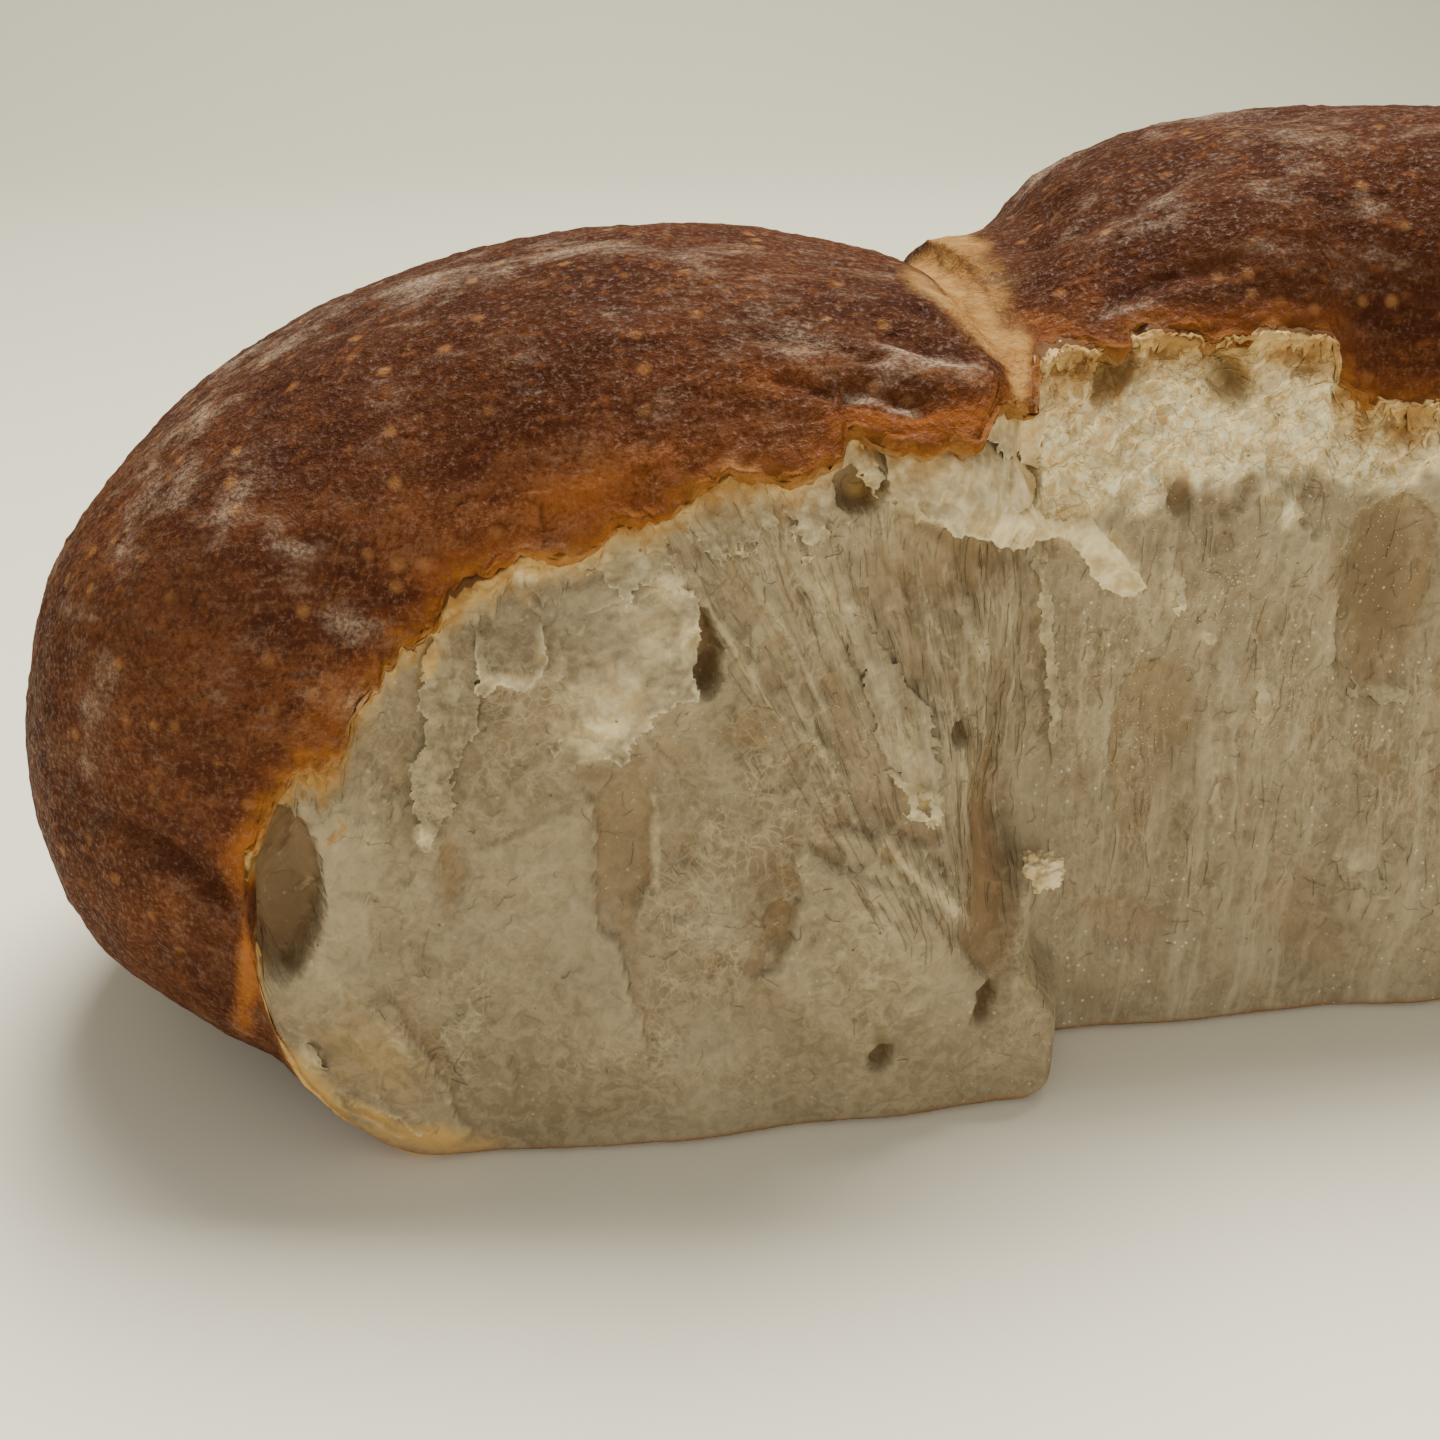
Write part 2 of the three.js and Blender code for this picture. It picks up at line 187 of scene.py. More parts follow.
def cells(u, v, seed):
    """Distance to the nearest and to the next of scattered points, and a draw for the nearest."""
    iu = np.floor(u).astype(np.int64)
    iv = np.floor(v).astype(np.int64)
    nearest = np.full(u.shape, 9.0)
    second = np.full(u.shape, 9.0)
    drawn = np.zeros(u.shape)
    jitter = np.random.default_rng(seed).random((TABLE, 3))
    for du in (-1, 0, 1):
        for dv in (-1, 0, 1):
            at = noise.index(iu + du, iv + dv, np.full(u.shape, seed))
            away = np.hypot(iu + du + jitter[at, 0] - u, iv + dv + jitter[at, 1] - v)
            closer = away < nearest
            second = np.where(closer, nearest, np.minimum(second, away))
            drawn = np.where(closer, jitter[at, 2], drawn)
            nearest = np.where(closer, away, nearest)
    return nearest, second, drawn


def uneven(x, y, z, wave, seed):
    """The low unevenness of the part's source: waves that cross in space."""
    total = 0
    for k in range(1, 5):
        turn = seed * 1.7 + k * 2.4
        rise = math.sin(seed * 0.9 + k * 1.3)
        flat = math.sqrt(1 - rise * rise)
        pace = 2 * math.pi / wave * (1 + 0.23 * k)
        along = x * math.cos(turn) * flat + y * math.sin(turn) * flat + z * rise
        total = total + np.sin(pace * along + seed * k)
    return total / 4


# Lines drawn through points.
def curve_through(points, steps=8):
    """A smooth curve through points."""
    p = np.concatenate([2 * points[:1] - points[1:2], points, 2 * points[-1:] - points[-2:-1]])
    t = np.linspace(0, 1, steps, endpoint=False)[:, None]
    parts = []
    for a, b, c, d in zip(p, p[1:], p[2:], p[3:]):
        parts.append(b + 0.5 * t * (c - a + t * (2 * a - 5 * b + 4 * c - d + t * (3 * b - a - 3 * c + d))))
    return np.concatenate(parts + [points[-1:]])


def near_line(line, x, z):
    """Distance to a line, positive on its left, and the share of its length where it is nearest."""
    steps = np.linalg.norm(np.diff(line, axis=0), axis=1)
    run = np.concatenate([[0], np.cumsum(steps)])
    best = np.full(x.shape, 1e9)
    side = np.ones(x.shape)
    share = np.zeros(x.shape)
    for k, (a, b) in enumerate(zip(line, line[1:])):
        way = b - a
        u = clamp(((x - a[0]) * way[0] + (z - a[1]) * way[1]) / (way @ way), 0, 1)
        away = np.hypot(x - a[0] - u * way[0], z - a[1] - u * way[1])
        closer = away < best
        left = way[0] * (z - a[1]) - way[1] * (x - a[0])
        best = np.where(closer, away, best)
        side = np.where(closer, np.where(left < 0, -1, 1), side)
        share = np.where(closer, (run[k] + u * steps[k]) / run[-1], share)
    return best * side, share


def inside(outline, x, z):
    """Which points lie inside a closed outline."""
    odd = np.zeros(x.shape, bool)
    for a, b in zip(outline, np.roll(outline, -1, axis=0)):
        spans = (a[1] > z) != (b[1] > z)
        rise = b[1] - a[1] if b[1] != a[1] else 1e-9
        odd ^= spans & (x < a[0] + (z - a[1]) / rise * (b[0] - a[0]))
    return odd


# The loaf's form, as functions of the place along the pair.
def widest_level(x):
    return mix(LEFT["widest"], RIGHT["widest"], smooth((x + 30) / 60))


def plan_of(lobe, side, x):
    out = (x - lobe["middle"]) * side
    return arch(out / np.where(out > 0, lobe["to_end"], lobe["to_seam"]), PLAN_POWER)


def crown_of(lobe, side, x):
    out = (x - lobe["crown_at"]) * side
    reach = np.where(out > 0, lobe["crown_end"], lobe["crown_seam"])
    return (lobe["crown"] - lobe["widest"]) * arch(out / reach, lobe["power"])


def crown_rise(x):
    groove = 1.6 * bell(x, SEAM_X, 4)
    return smooth_max(crown_of(LEFT, -1, x), crown_of(RIGHT, 1, x), SEAM_ROUNDING) - groove


def rim_height(x):
    """Height of the torn side's rim, before its raggedness."""
    widest = widest_level(x)
    left, right = (widest + (rim["top"] - widest) * arch((x - rim["middle"]) / rim["reach"], rim["power"])
                   for rim in (RIM_LEFT, RIM_RIGHT))
    right = right - 5.2 * bell(x, 29, 6)
    rim = mix(left, right, smooth((x - SEAM_X + 4) / 3))
    return -smooth_max(-rim, -(widest + 0.975 * crown_rise(x)), 2)


# The crust's broken rim where the photograph shows it: each stretch's plane, and its pixels.
SLOPE_Y = -33.5  # halfway up the step between the two rolls' torn sides
RIM_SEEN = (
    (TORN_LEFT_Y, (
        (302, 771), (317, 766), (338, 748), (355, 717), (364, 699), (379, 680), (392, 667), (399, 652),
        (414, 643), (427, 631), (439, 618), (443, 605), (448, 594), (459, 585), (472, 575), (491, 572),
        (500, 564), (515, 560), (526, 555), (538, 557), (547, 559), (580, 551), (600, 538), (622, 523),
        (640, 522), (665, 514), (680, 500), (694, 494), (732, 473), (756, 470), (790, 475), (816, 463),
        (842, 451), (848, 430), (866, 430), (884, 436), (905, 441), (925, 439), (946, 432), (972, 433),
        (987, 424), (1001, 409))),
    (SLOPE_Y, ((1026, 402),)),
    (TORN_RIGHT_Y, (
        (1048, 347), (1070, 345), (1090, 347), (1122, 352), (1129, 352), (1134, 334), (1152, 329),
        (1176, 332), (1196, 332), (1205, 339), (1232, 338), (1249, 335), (1264, 328), (1281, 325),
        (1311, 328), (1341, 334), (1345, 369), (1352, 386), (1370, 401), (1390, 401), (1422, 402),
        (1440, 398))),
)
RIM_POINTS = np.concatenate([seen(pixels, plane) for plane, pixels in RIM_SEEN])


def broken_rim(x):
    """Height of the crust's broken rim: as the photograph shows it, and ragged where it doesn't."""
    smooth_rim = rim_height(x)
    far_off = 0.55 * octaves(x / 5.0, 3.3, 0.7, 5, 0.7)
    far_off = far_off * clamp((smooth_rim - widest_level(x) - OPEN_HALF) / 6, 0, 1)
    drawn = np.interp(x, RIM_POINTS[:, 0], RIM_POINTS[:, 1]) + 0.4 * octaves(x / 1.8, 1.3, 0.7, 4, 0.75)
    drawn = drawn + 1.2 * (1 - ramp(x, -54, -46)) * octaves(x / 1.1, 5.3, 0.7, 3, 0.7)
    shown = ramp(x, -62.5, -59.5) * (1 - ramp(x, 32, 37))
    top = widest_level(x) + 0.985 * crown_rise(x)
    return np.minimum(mix(smooth_rim + far_off, drawn, shown), top)


def foot_height(x):
    """Height of the torn side's lower edge, which rises at its two rounded corners."""
    from_end = np.minimum(x - TORN_ENDS[0], TORN_ENDS[1] - x)
    share = clamp(1 - from_end / 15.8, 0, 1)
    return np.where(share > 0, widest_level(x) * (1 - arch(share, 2.3)), 0)


def torn_plane(x, z):
    """The torn side without its hollows: the right roll's face stands further back."""
    high = smooth((z - 13) / 13)
    corner = 1.7 * (1 - ramp(z, 0, 1.8))
    step_at = 0.8 - 6.6 * np.maximum(high, 0.45 * ramp(z, 8, 12)) - corner
    back = smooth(0.5 + (x - step_at) / (2 * (2.4 + 3.4 * high)))
    foot = clamp(1 - z, 0, 1)
    return mix(TORN_LEFT_Y, TORN_RIGHT_Y, back) + 1 - np.sqrt(1 - foot * foot)


# Hollows (depth above 0) and swells (below 0) of the torn side: x, z, half-size in x and z, lean from
# upright in degrees, depth, and edge, which is 1 for a soft rim and more for a sharper one.
TORN_FORMS = [
    (-63.2, 24.3, 3.1, 7.0, 4, 4.6, 6),  # end hole
    (-30.3, 42.2, 1.3, 3.4, -8, 4, 4),  # slit by the flap
    (-18.4, 54.2, 2.2, 1.7, 0, 3.2, 4),  # hole under the rim
    (-11.4, 57.6, 6.6, 1.5, 0, 1.6, 3),  # gap between crust tip and film
    (-8.5, 47.4, 8.5, 3.4, 0, 2.2, 1),  # shade under the ribbon
    (-3.6, 54.5, 1.2, 4, -12, 2.4, 3),  # slot beside the ribbon
    (-6.0, 21.5, 2.4, 8.5, 3, 4.6, 1),  # recess between the rolls
    (-14, 42, 9, 13, 24, 2.4, 1),  # pulled dish
    (-34.6, 30, 4, 7.5, 8, 1.2, 2),  # dish under the flap
    (-56, 20, 5, 5.5, -35, 1.4, 1),  # dish in the left flank
    (-16.2, 6.9, 0.9, 1.2, 20, 2.6, 3),  # pit in the foot
    (-7.2, 10.4, 0.9, 1.8, 10, 2.6, 3),  # pit by the corner
    (-9.6, 33.8, 0.7, 1.1, 5, 2.2, 3),  # pit beside the pulled strip
    (-26.3, 35.3, 2.2, 1.9, -30, 0.8, 2),  # brown dent
    (-24.6, 19.6, 1.1, 2.1, 8, 0.9, 3),  # small cell beside the pad
    (-50.2, 25, 1.2, 3.2, 8, 0.9, 2),  # cell in the left flank
    (4.8, 60.0, 2.9, 1.2, -60, 4.2, 3),  # right pit one
    (14, 59.4, 2.6, 1.4, 50, 4.2, 3),  # right pit two
    (10.2, 50.6, 1.3, 1.9, 0, 1.5, 3),  # right pit three
    (30, 40, 4.6, 9.3, 0, 2.0, 3),  # tall hollow
    (10.2, 26.6, 4.0, 9.6, 0, 1.3, 3),  # oval hollow
    (26, 8, 6, 3.4, 40, 1.8, 1),  # low hollow
    (8, 11, 4.5, 2.6, 10, 1.1, 2),  # second low hollow
    (46, 30, 5, 10, -6, 2.6, 3),  # far dish
    (56, 38, 3.4, 5.4, -14, 3, 3),  # far cell
    (56, 15, 6, 5, 20, 1.8, 1),  # far low dish
    (67.6, 25, 2.8, 5.6, -6, 6, 4),  # far end hole
    (-31, 7, 27, 14, 0, -2.9, 1),  # belly of the left roll
    (38, 9, 30, 14, 0, -1.8, 1),  # belly of the right roll
    (-17.6, 15, 7.6, 10, -16, -1.0, 2),  # pad
    (-1.8, 18.5, 3.2, 6, -10, -1.6, 1),  # nub between the rolls
    (-36, 41.6, 5.8, 7.6, -12, -0.9, 2),  # bread under the flap
    (-16.6, 38.5, 2.3, 10.5, -22, -1.0, 2),  # bread under the pulled strip
    (-8.6, 51.6, 2.0, 9.0, -73, -1.6, 2),  # bread under the ribbon
    (38.5, 36, 2.2, 12, 5, -1.2, 3),  # far strip
    (52.5, 46, 3.4, 4.6, 10, -1.4, 3),  # far flap
]


def leaning(dx, dz, degrees):
    """A place across and along something that leans from upright by this much."""
    turn = math.radians(degrees)
    return dx * math.cos(turn) - dz * math.sin(turn), dx * math.sin(turn) + dz * math.cos(turn)


def form_depth(x, z):
    """Depth of the hollows, less the height of the swells, with slightly frayed outlines."""
    total = 0
    x = x + 0.3 * octaves(x, z, 61.5, 3, 0.7)
    z = z + 0.3 * octaves(x, z, 71.5, 3, 0.7)
    for at_x, at_z, rx, rz, lean, depth, edge in TORN_FORMS:
        across, along = leaning(x - at_x, z - at_z, lean)
        total = total + depth * np.exp(-(((across / rx) ** 2 + (along / rz) ** 2) ** edge))
    return total


# Edges where one layer of crumb ends over another, by the picture's pixels. The raised side is on the
# left of the way each one runs. Each has a height, the distance over which that fades back, the
# raggedness of its line, and the plane it lies on.
EDGES = [
    (1.0, 7, 0.45, TORN_LEFT_Y, ((657, 1043), (640, 1013), (627, 973), (618, 937), (600, 923), (595, 893),
                                  (597, 843), (590, 800), (570, 773))),
    (0.55, 4, 0.25, TORN_LEFT_Y, ((645, 785), (652, 800), (658, 830), (655, 870), (640, 905), (622, 930))),
    (1.25, 6, 0.45, TORN_LEFT_Y, ((815, 828), (797, 838), (796, 880), (788, 915), (774, 940), (757, 958),
                                  (742, 975))),
    (1.3, 6, 0.5, TORN_LEFT_Y, ((1002, 992), (985, 973), (958, 943), (925, 905), (907, 873), (887, 853),
                                 (867, 833), (847, 827), (812, 826))),
    (1.1, 4, 0.8, TORN_LEFT_Y, ((975, 905), (960, 897), (953, 887), (927, 860), (920, 840), (903, 837),
                                (880, 813), (872, 800))),
    (0.8, 6, 0.4, TORN_LEFT_Y, ((484, 1126), (459, 1101), (444, 1066), (409, 1023), (384, 980))),
    (0.7, 2.5, 0.5, TORN_LEFT_Y, ((416, 1128), (395, 1118), (373, 1107), (351, 1102), (330, 1085))),
    (0.5, 3, 0.5, TORN_LEFT_Y, ((330, 855), (345, 833), (368, 838), (392, 846))),
    (0.6, 4, 0.5, TORN_LEFT_Y, ((700, 520), (735, 545), (760, 600), (790, 655), (800, 700))),
    (0.5, 4, 0.5, TORN_LEFT_Y, ((905, 560), (930, 600), (950, 660), (975, 720), (990, 790))),
    (0.9, 5, 0.4, TORN_RIGHT_Y, ((1335, 680), (1332, 610), (1336, 550), (1352, 510), (1390, 493),
                                 (1425, 503), (1452, 540))),
    (0.6, 5, 0.5, TORN_RIGHT_Y, ((1118, 830), (1112, 760), (1122, 690), (1150, 660), (1185, 672))),
    (0.6, 4, 0.6, TORN_RIGHT_Y, ((1077, 455), (1074, 490), (1080, 515), (1100, 540))),
    (0.6, 4, 0.9, TORN_RIGHT_Y, ((1180, 520), (1150, 470), (1120, 500), (1095, 480))),
    (0.7, 4, 0.9, TORN_RIGHT_Y, ((1330, 510), (1305, 525), (1285, 490), (1262, 470), (1240, 500),
                                 (1205, 520))),
    (0.5, 5, 0.7, TORN_RIGHT_Y, ((1345, 800), (1330, 850), (1365, 880), (1400, 930))),
    (0.5, 3, 0.6, TORN_RIGHT_Y, ((1260, 730), (1268, 690), (1258, 650), (1245, 600))),
    (0.5, 3, 0.6, TORN_RIGHT_Y, ((1210, 640), (1218, 720), (1210, 800), (1200, 850))),
]
# Thin raised strands in the crumb: height, half-width, plane and pixels.
STRANDS = [
    (0.7, 0.45, TORN_LEFT_Y, ((692, 592), (722, 630), (750, 670), (785, 720), (823, 747), (840, 773),
                              (853, 813), (880, 850))),
    (0.5, 0.3, TORN_LEFT_Y, ((735, 560), (775, 610), (812, 680), (840, 740))),
    (0.5, 0.3, TORN_LEFT_Y, ((860, 530), (905, 600), (940, 660), (965, 745), (975, 830), (990, 900))),
    (0.6, 0.3, TORN_LEFT_Y, ((960, 560), (985, 620), (995, 700), (1000, 780), (1008, 850))),
    (0.8, 0.5, TORN_LEFT_Y, ((1036, 540), (1042, 590), (1046, 640), (1040, 700), (1050, 760))),
    (0.5, 0.3, TORN_LEFT_Y, ((648, 790), (655, 830), (652, 880), (637, 912), (660, 930), (690, 925))),
    (0.6, 0.4, TORN_RIGHT_Y, ((1235, 640), (1228, 700), (1232, 770), (1222, 850))),
    (0.5, 0.35, TORN_RIGHT_Y, ((1330, 690), (1322, 740), (1328, 800))),
    (0.5, 0.35, TORN_RIGHT_Y, ((1065, 560), (1080, 640), (1078, 720), (1092, 800), (1110, 860))),
]
FADE_REACH = 2.5  # an edge's rise is worked out to this many times its fading distance


def drawn_relief(x, z):
    """Height of the drawn edges and strands, and nearness to the lip of one, for a painted highlight."""
    rise = np.zeros(x.shape)
    lip = np.zeros(x.shape)

    def window(line, reach):
        low, high = line.min(0) - reach, line.max(0) + reach
        return (x > low[0]) & (x < high[0]) & (z > low[1]) & (z < high[1])

    for height, fade, rough, plane, pixels in EDGES:
        line = curve_through(seen(pixels, plane))
        near = window(line, fade * FADE_REACH)
        away, share = near_line(line, x[near], z[near])
        away = away + rough * octaves(x[near] / 1.5, z[near] / 1.5, 3.1, 3, 0.6)
        taper = ramp(share, 0.0, 0.15) * (1 - ramp(share, 0.85, 1))
        step = ramp(away, -0.16, 0.16) * np.exp(-np.maximum(away, 0) / fade)
        rise[near] += height * taper * step * (1 - ramp(away, fade * 1.5, fade * FADE_REACH))
        lip[near] = np.maximum(lip[near], 0.45 * taper * bell(away, 0.16, 0.3))
    for height, half, plane, pixels in STRANDS:
        line = curve_through(seen(pixels, plane))
        near = window(line, 3)
        away, share = near_line(line, x[near], z[near])
        away = away + 0.35 * octaves(x[near] / 2, z[near] / 2, 7.7, 2)
        taper = ramp(share, 0.0, 0.2) * (1 - ramp(share, 0.8, 1))
        rise[near] += height * taper * bell(away, 0, half)
        lip[near] = np.maximum(lip[near], 0.35 * taper * bell(away, 0, half * 0.8))
    return rise, lip


# The crumb was pulled towards the recess between the rolls. Along a fibre, the value s stays the same.
PULL_TO = -6.0
PULL_STEPS = 40


def pulled_x(s, z):
    """Where the fibre s lies at height z."""
    rise = clamp((58 - z) / 50, 0, 0.8)
    towards = 0.85 * ramp(s, -62, -40) * (1 - ramp(s, -2, 8))
    slant = 0.08 * (z - 45) * ramp(s, 2, 14)
    return s + (PULL_TO - s) * towards * rise + slant


def pulled_s(x, z):
    """The fibre through a place, found by small corrections."""
    s = np.array(np.broadcast_to(x, np.broadcast(x, z).shape), float)
    for _ in range(PULL_STEPS):
        s = s + 0.7 * (x - pulled_x(s, z))
    return s


def in_fibres(x, z):
    """1 where the left roll's crumb is pulled into fibres."""
    right_of = ((x + 33) * 27 + (z - 47) * 21) / math.hypot(27, 21) + 3 * noise(x / 7, z / 7, 33.3)
    return ramp(right_of, -4, 6) * (1 - ramp(x, -4, 3)) * ramp(z, 12, 28)


def net(u, v, seed, sharp=0.4):
    """A net of thin walls round sunken cells: 0 on the walls, up to 1 in the cells."""
    first, second, draw = cells(u, v, seed)
    return ramp(second - first, 0.03, sharp) * (0.35 + 0.65 * draw)


def makeup(x, z):
    """From 0 to 1, how fibrous, how far right, how fluffy and how full of cells the crumb is."""
    right = ramp(x, -3, 4)
    ragged = octaves(x / 6, z / 9, 51.5, 3, 0.6)
    lace = ramp(x + 1.5 * ragged, -4.5, -1.5) * ramp(z + 3.5 * ragged, 46, 52)
    pad = np.exp(-((((x + 17.0) / 8.0) ** 2 + ((z - 13) / 11.5) ** 2) ** 3))
    felt = np.exp(-((((x + 42.0) / 8.0) ** 2 + ((z - 26) / 12) ** 2) ** 2))
    low = 1 - ramp(z, 2, 15)
    busy = 1 - 0.8 * clamp(pad + 0.8 * felt + 0.75 * low, 0, 1)
    return in_fibres(x, z), right, lace, busy


def torn_relief(x, z):
    """Fine relief of the crumb, deeper where positive, and how near a lip each point is, for a painted
    highlight.
    """
    s = pulled_s(x, z)
    s = s + 0.7 * noise(x / 4, z / 6, 40.5) + 0.25 * noise(x / 1.3, z / 2.5, 44.5)
    fibres, right, lace, busy = makeup(x, z)
    warp_x = x + 1.3 * noise(x / 5, z / 5, 1.5) + 0.4 * noise(x / 1.7, z / 1.7, 4.5)
    warp_z = z + 1.3 * noise(x / 5, z / 5, 11.5) + 0.4 * noise(x / 1.7, z / 1.7, 14.5)
    # nets of cells: round ones, upright ones on the right roll, and long ones along the pull
    patchy = ramp(noise(x / 8, z / 8, 21.5), -0.25, 0.35)
    web = 0.4 * net(warp_x / 3.4, warp_z / 4.2, 3, 0.8) * patchy
    web = web + 0.2 * net(warp_x / 1.3, warp_z / 1.6, 5)
    upright = 0.3 * net(warp_x / 3.0, warp_z / 9.0, 9, 0.8) * patchy
    upright = upright + 0.16 * net(warp_x / 1.2, warp_z / 3.4, 13)
    pulled = 0.28 * net(s / 4.2, z / 10, 17, 0.9) + 0.1 * net(s / 1.6, z / 6, 19)
    pulled = pulled - 0.25 * ridges(s / 1.5, z / 14, 1.5) ** 2 - 0.1
    relief = mix(web, upright, right * (1 - lace)) * busy * (1 - fibres) + pulled * fibres * busy
    # torn layers that end in small steps
    tall = mix(4.5, 9, clamp(fibres + 0.6 * right, 0, 1))
    layers = noise(mix(warp_x, s, fibres) / 3.2, z / tall, 4.2)
    layers = layers + 0.35 * octaves(warp_x / 1.6, warp_z / 2.4, 9.1, 2)
    soft = mix(0.24, 0.09, ramp(busy, 0.3, 0.9))
    step = 0.36 - 0.14 * right
    relief = relief - step * (0.2 + 0.8 * busy) * (ramp(layers, 0.135 - soft, 0.135 + soft) - 0.5)
    relief = relief + 0.5 * noise(x / 8, z / 9, 2.2) + 0.12 * octaves(x / 2.0, z / 2.3, 5.5, 3)
    # fluff under the right roll's rim
    fluff = octaves((x + z) / 4.0, (z - x) / 1.7, 8.8, 4, 0.7)
    relief = relief + lace * (0.8 * fluff + 0.3 * net(warp_x / 1.9, warp_z / 1.6, 29, 0.8))
    relief = relief - 1.6 * right * bell(z, 46, 7) * ramp(x, -3, 6)
    rise, lip = drawn_relief(x, z)
    lip = np.maximum(lip, 0.45 * busy ** 2 * bell(layers, 0.18, 0.04))
    return relief - rise, lip


def torn_y(x, z, fine=0.0):
    """The torn side's y. Larger is further into the bread."""
    below = np.maximum(rim_height(x) - z, 0)
    proud = mix(0.35, 1.2, ramp(x, -20, -13) + (1 - ramp(x, -63, -60)))
    lip = proud * smooth(below / 1.2) * np.exp(-below / 7)
    waves = 0.7 * uneven(x, 0, z * 0.6, 30, 5) + 0.45 * uneven(x, 0, z * 0.6, 13, 12)
    open_part = ramp(x, TORN_ENDS[0], TORN_ENDS[0] + 0.5) * (1 - ramp(x, TORN_ENDS[1] - 0.5, TORN_ENDS[1]))
    return torn_plane(x, z) + lip + open_part * (smooth(below / 3) * (form_depth(x, z) + waves) + fine)


def surface_y(x, z):
    """The crumb's surface with its fine relief."""
    return torn_y(x, z, torn_relief(x, z)[0])


def torn_reach(x):
    """What the front of the crust has to reach to at a torn station, over and under the widest line."""
    widest = widest_level(x)
    middle_y = middle_at(x)
    rim = rim_height(x)
    foot = foot_height(x)
    above = (middle_y - torn_y(x, rim)) / arch((rim - widest) / crown_rise(x), FRONT_POWER)
    below = (middle_y - torn_y(x, foot)) / arch((widest - foot) / under_at(x), UNDER_POWER)
    return above, below


def middle_at(x):
    """The y of the line that the crust's sections go round."""
    return mix(LEFT["widest_y"], RIGHT["widest_y"], smooth(0.5 + (x - SEAM_X) / (2 * BLEND_HALF)))


def plan_at(x):
    return np.maximum(plan_of(LEFT, -1, x), plan_of(RIGHT, 1, x))


def under_at(x):
    outer = (x < LEFT["middle"]) | (x > RIGHT["middle"])
    lift = np.where(outer, np.minimum(1, 1.04 * plan_at(x) ** 0.9), 1)
    return widest_level(x) * UNDER_REACH * lift


END_BLEND = 13.0  # the whole crust beyond the torn side runs into it over this distance


def section_at(x):
    """One station's driving values, as in the part's source."""
    x = np.float64(x)
    plan = plan_at(x)
    widest = widest_level(x)
    middle_y = middle_at(x)
    back_left = LEFT["widest_y"] + LEFT["back"] * plan_of(LEFT, -1, x)
    back_right = RIGHT["widest_y"] + RIGHT["back"] * plan_of(RIGHT, 1, x)
    back = smooth_max(back_left, back_right, SEAM_ROUNDING) - middle_y
    rim = widest + OPEN_HALF * plan
    foot = widest - OPEN_HALF * plan
    torn = TORN_ENDS[0] < x < TORN_ENDS[1]
    lobe = LEFT if x < 0 else RIGHT
    if torn:
        front, front_under = torn_reach(x)
        rim = max(rim, rim_height(x))
        foot = min(foot, foot_height(x))
    else:
        start = TORN_ENDS[0] + 0.3 if x < 0 else TORN_ENDS[1] - 0.3
        near = 1 - smooth(abs(x - start) / END_BLEND)
        above, below = torn_reach(np.float64(start))
        free = lobe["front"] * plan
        free_start = lobe["front"] * plan_at(np.float64(start))
        front = free + (above - free_start) * near
        front_under = free + (below - free_start) * near
    return dict(x=x, widest=widest, middle_y=middle_y, back=back, crown=crown_rise(x), under=under_at(x),
                front=front, front_under=front_under, rim=rim, foot=foot, torn=torn)


def front_y(s, z):
    """The untorn front of the crust at a height."""
    up = z - s["widest"]
    above = s["middle_y"] - s["front"] * arch(up / s["crown"], FRONT_POWER)
    below = s["middle_y"] - s["front_under"] * arch(up / s["under"], UNDER_POWER)
    return np.where(up > 0, above, below)


def quarter(middle_y, level, reach, rise, power, from_deg, to_deg, steps=90):
    """Part of a rounded quarter, as y and z, kept above the base."""
    a = np.radians(np.linspace(from_deg, to_deg, steps + 1))
    y = middle_y + reach * np.maximum(np.cos(a), 0) ** (2 / power)
    z = level + rise * np.maximum(np.sin(a), 0) ** (2 / power)
    return np.stack([y, np.maximum(z, 0)], 1)


def evenly(line, count):
    """Points spread evenly along a finely stepped line, both ends included."""
    length = np.concatenate([[0], np.cumsum(np.linalg.norm(np.diff(line, axis=0), axis=1))])
    want = np.linspace(0, length[-1], count)
    return np.stack([np.interp(want, length, line[:, k]) for k in (0, 1)], 1)


# Meshes.
def add_piece(name, points, faces, values):
    """A smooth mesh in metres from points in millimetres, with named values for its shader."""
    mesh = bpy.data.meshes.new(name)
    at = (np.asarray(points, float).reshape(-1, 3) + (0, SHIFT_Y, 0)) * MM
    mesh.from_pydata(at.tolist(), [], faces)
    for key, value in values.items():
        layer = mesh.attributes.new(key, "FLOAT", "POINT")
        layer.data.foreach_set("value", np.ascontiguousarray(value, np.float32))
    mesh.validate()
    mesh.shade_smooth()
    piece = bpy.data.objects.new(name, mesh)
    bpy.context.scene.collection.objects.link(piece)
    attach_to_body(piece, BODY)
    return piece


def grid_faces(rows, columns, wrap=False):
    """The four-sided faces of a grid, as rows by columns by four corners."""
    r = np.arange(rows - 1)[:, None]
    c = np.arange(columns if wrap else columns - 1)[None, :]
    a = r * columns + c
    b = r * columns + (c + 1) % columns
    return np.stack([a, a + columns, b + columns, b], -1)


def grid_normals(points):
    return unit(np.cross(np.gradient(points, axis=1), np.gradient(points, axis=0)))


def box_blur(values, reach):
    """A blur by running means along both directions of a grid."""
    for axis in (0, 1):
        pad = [(0, 0), (0, 0)]
        pad[axis] = (reach + 1, reach)
        total = np.cumsum(np.pad(values, pad, mode="edge"), axis=axis)
        width = 2 * reach + 1
        values = total[width:] - total[:-width] if axis == 0 else total[:, width:] - total[:, :-width]
        values = values / width
    return values


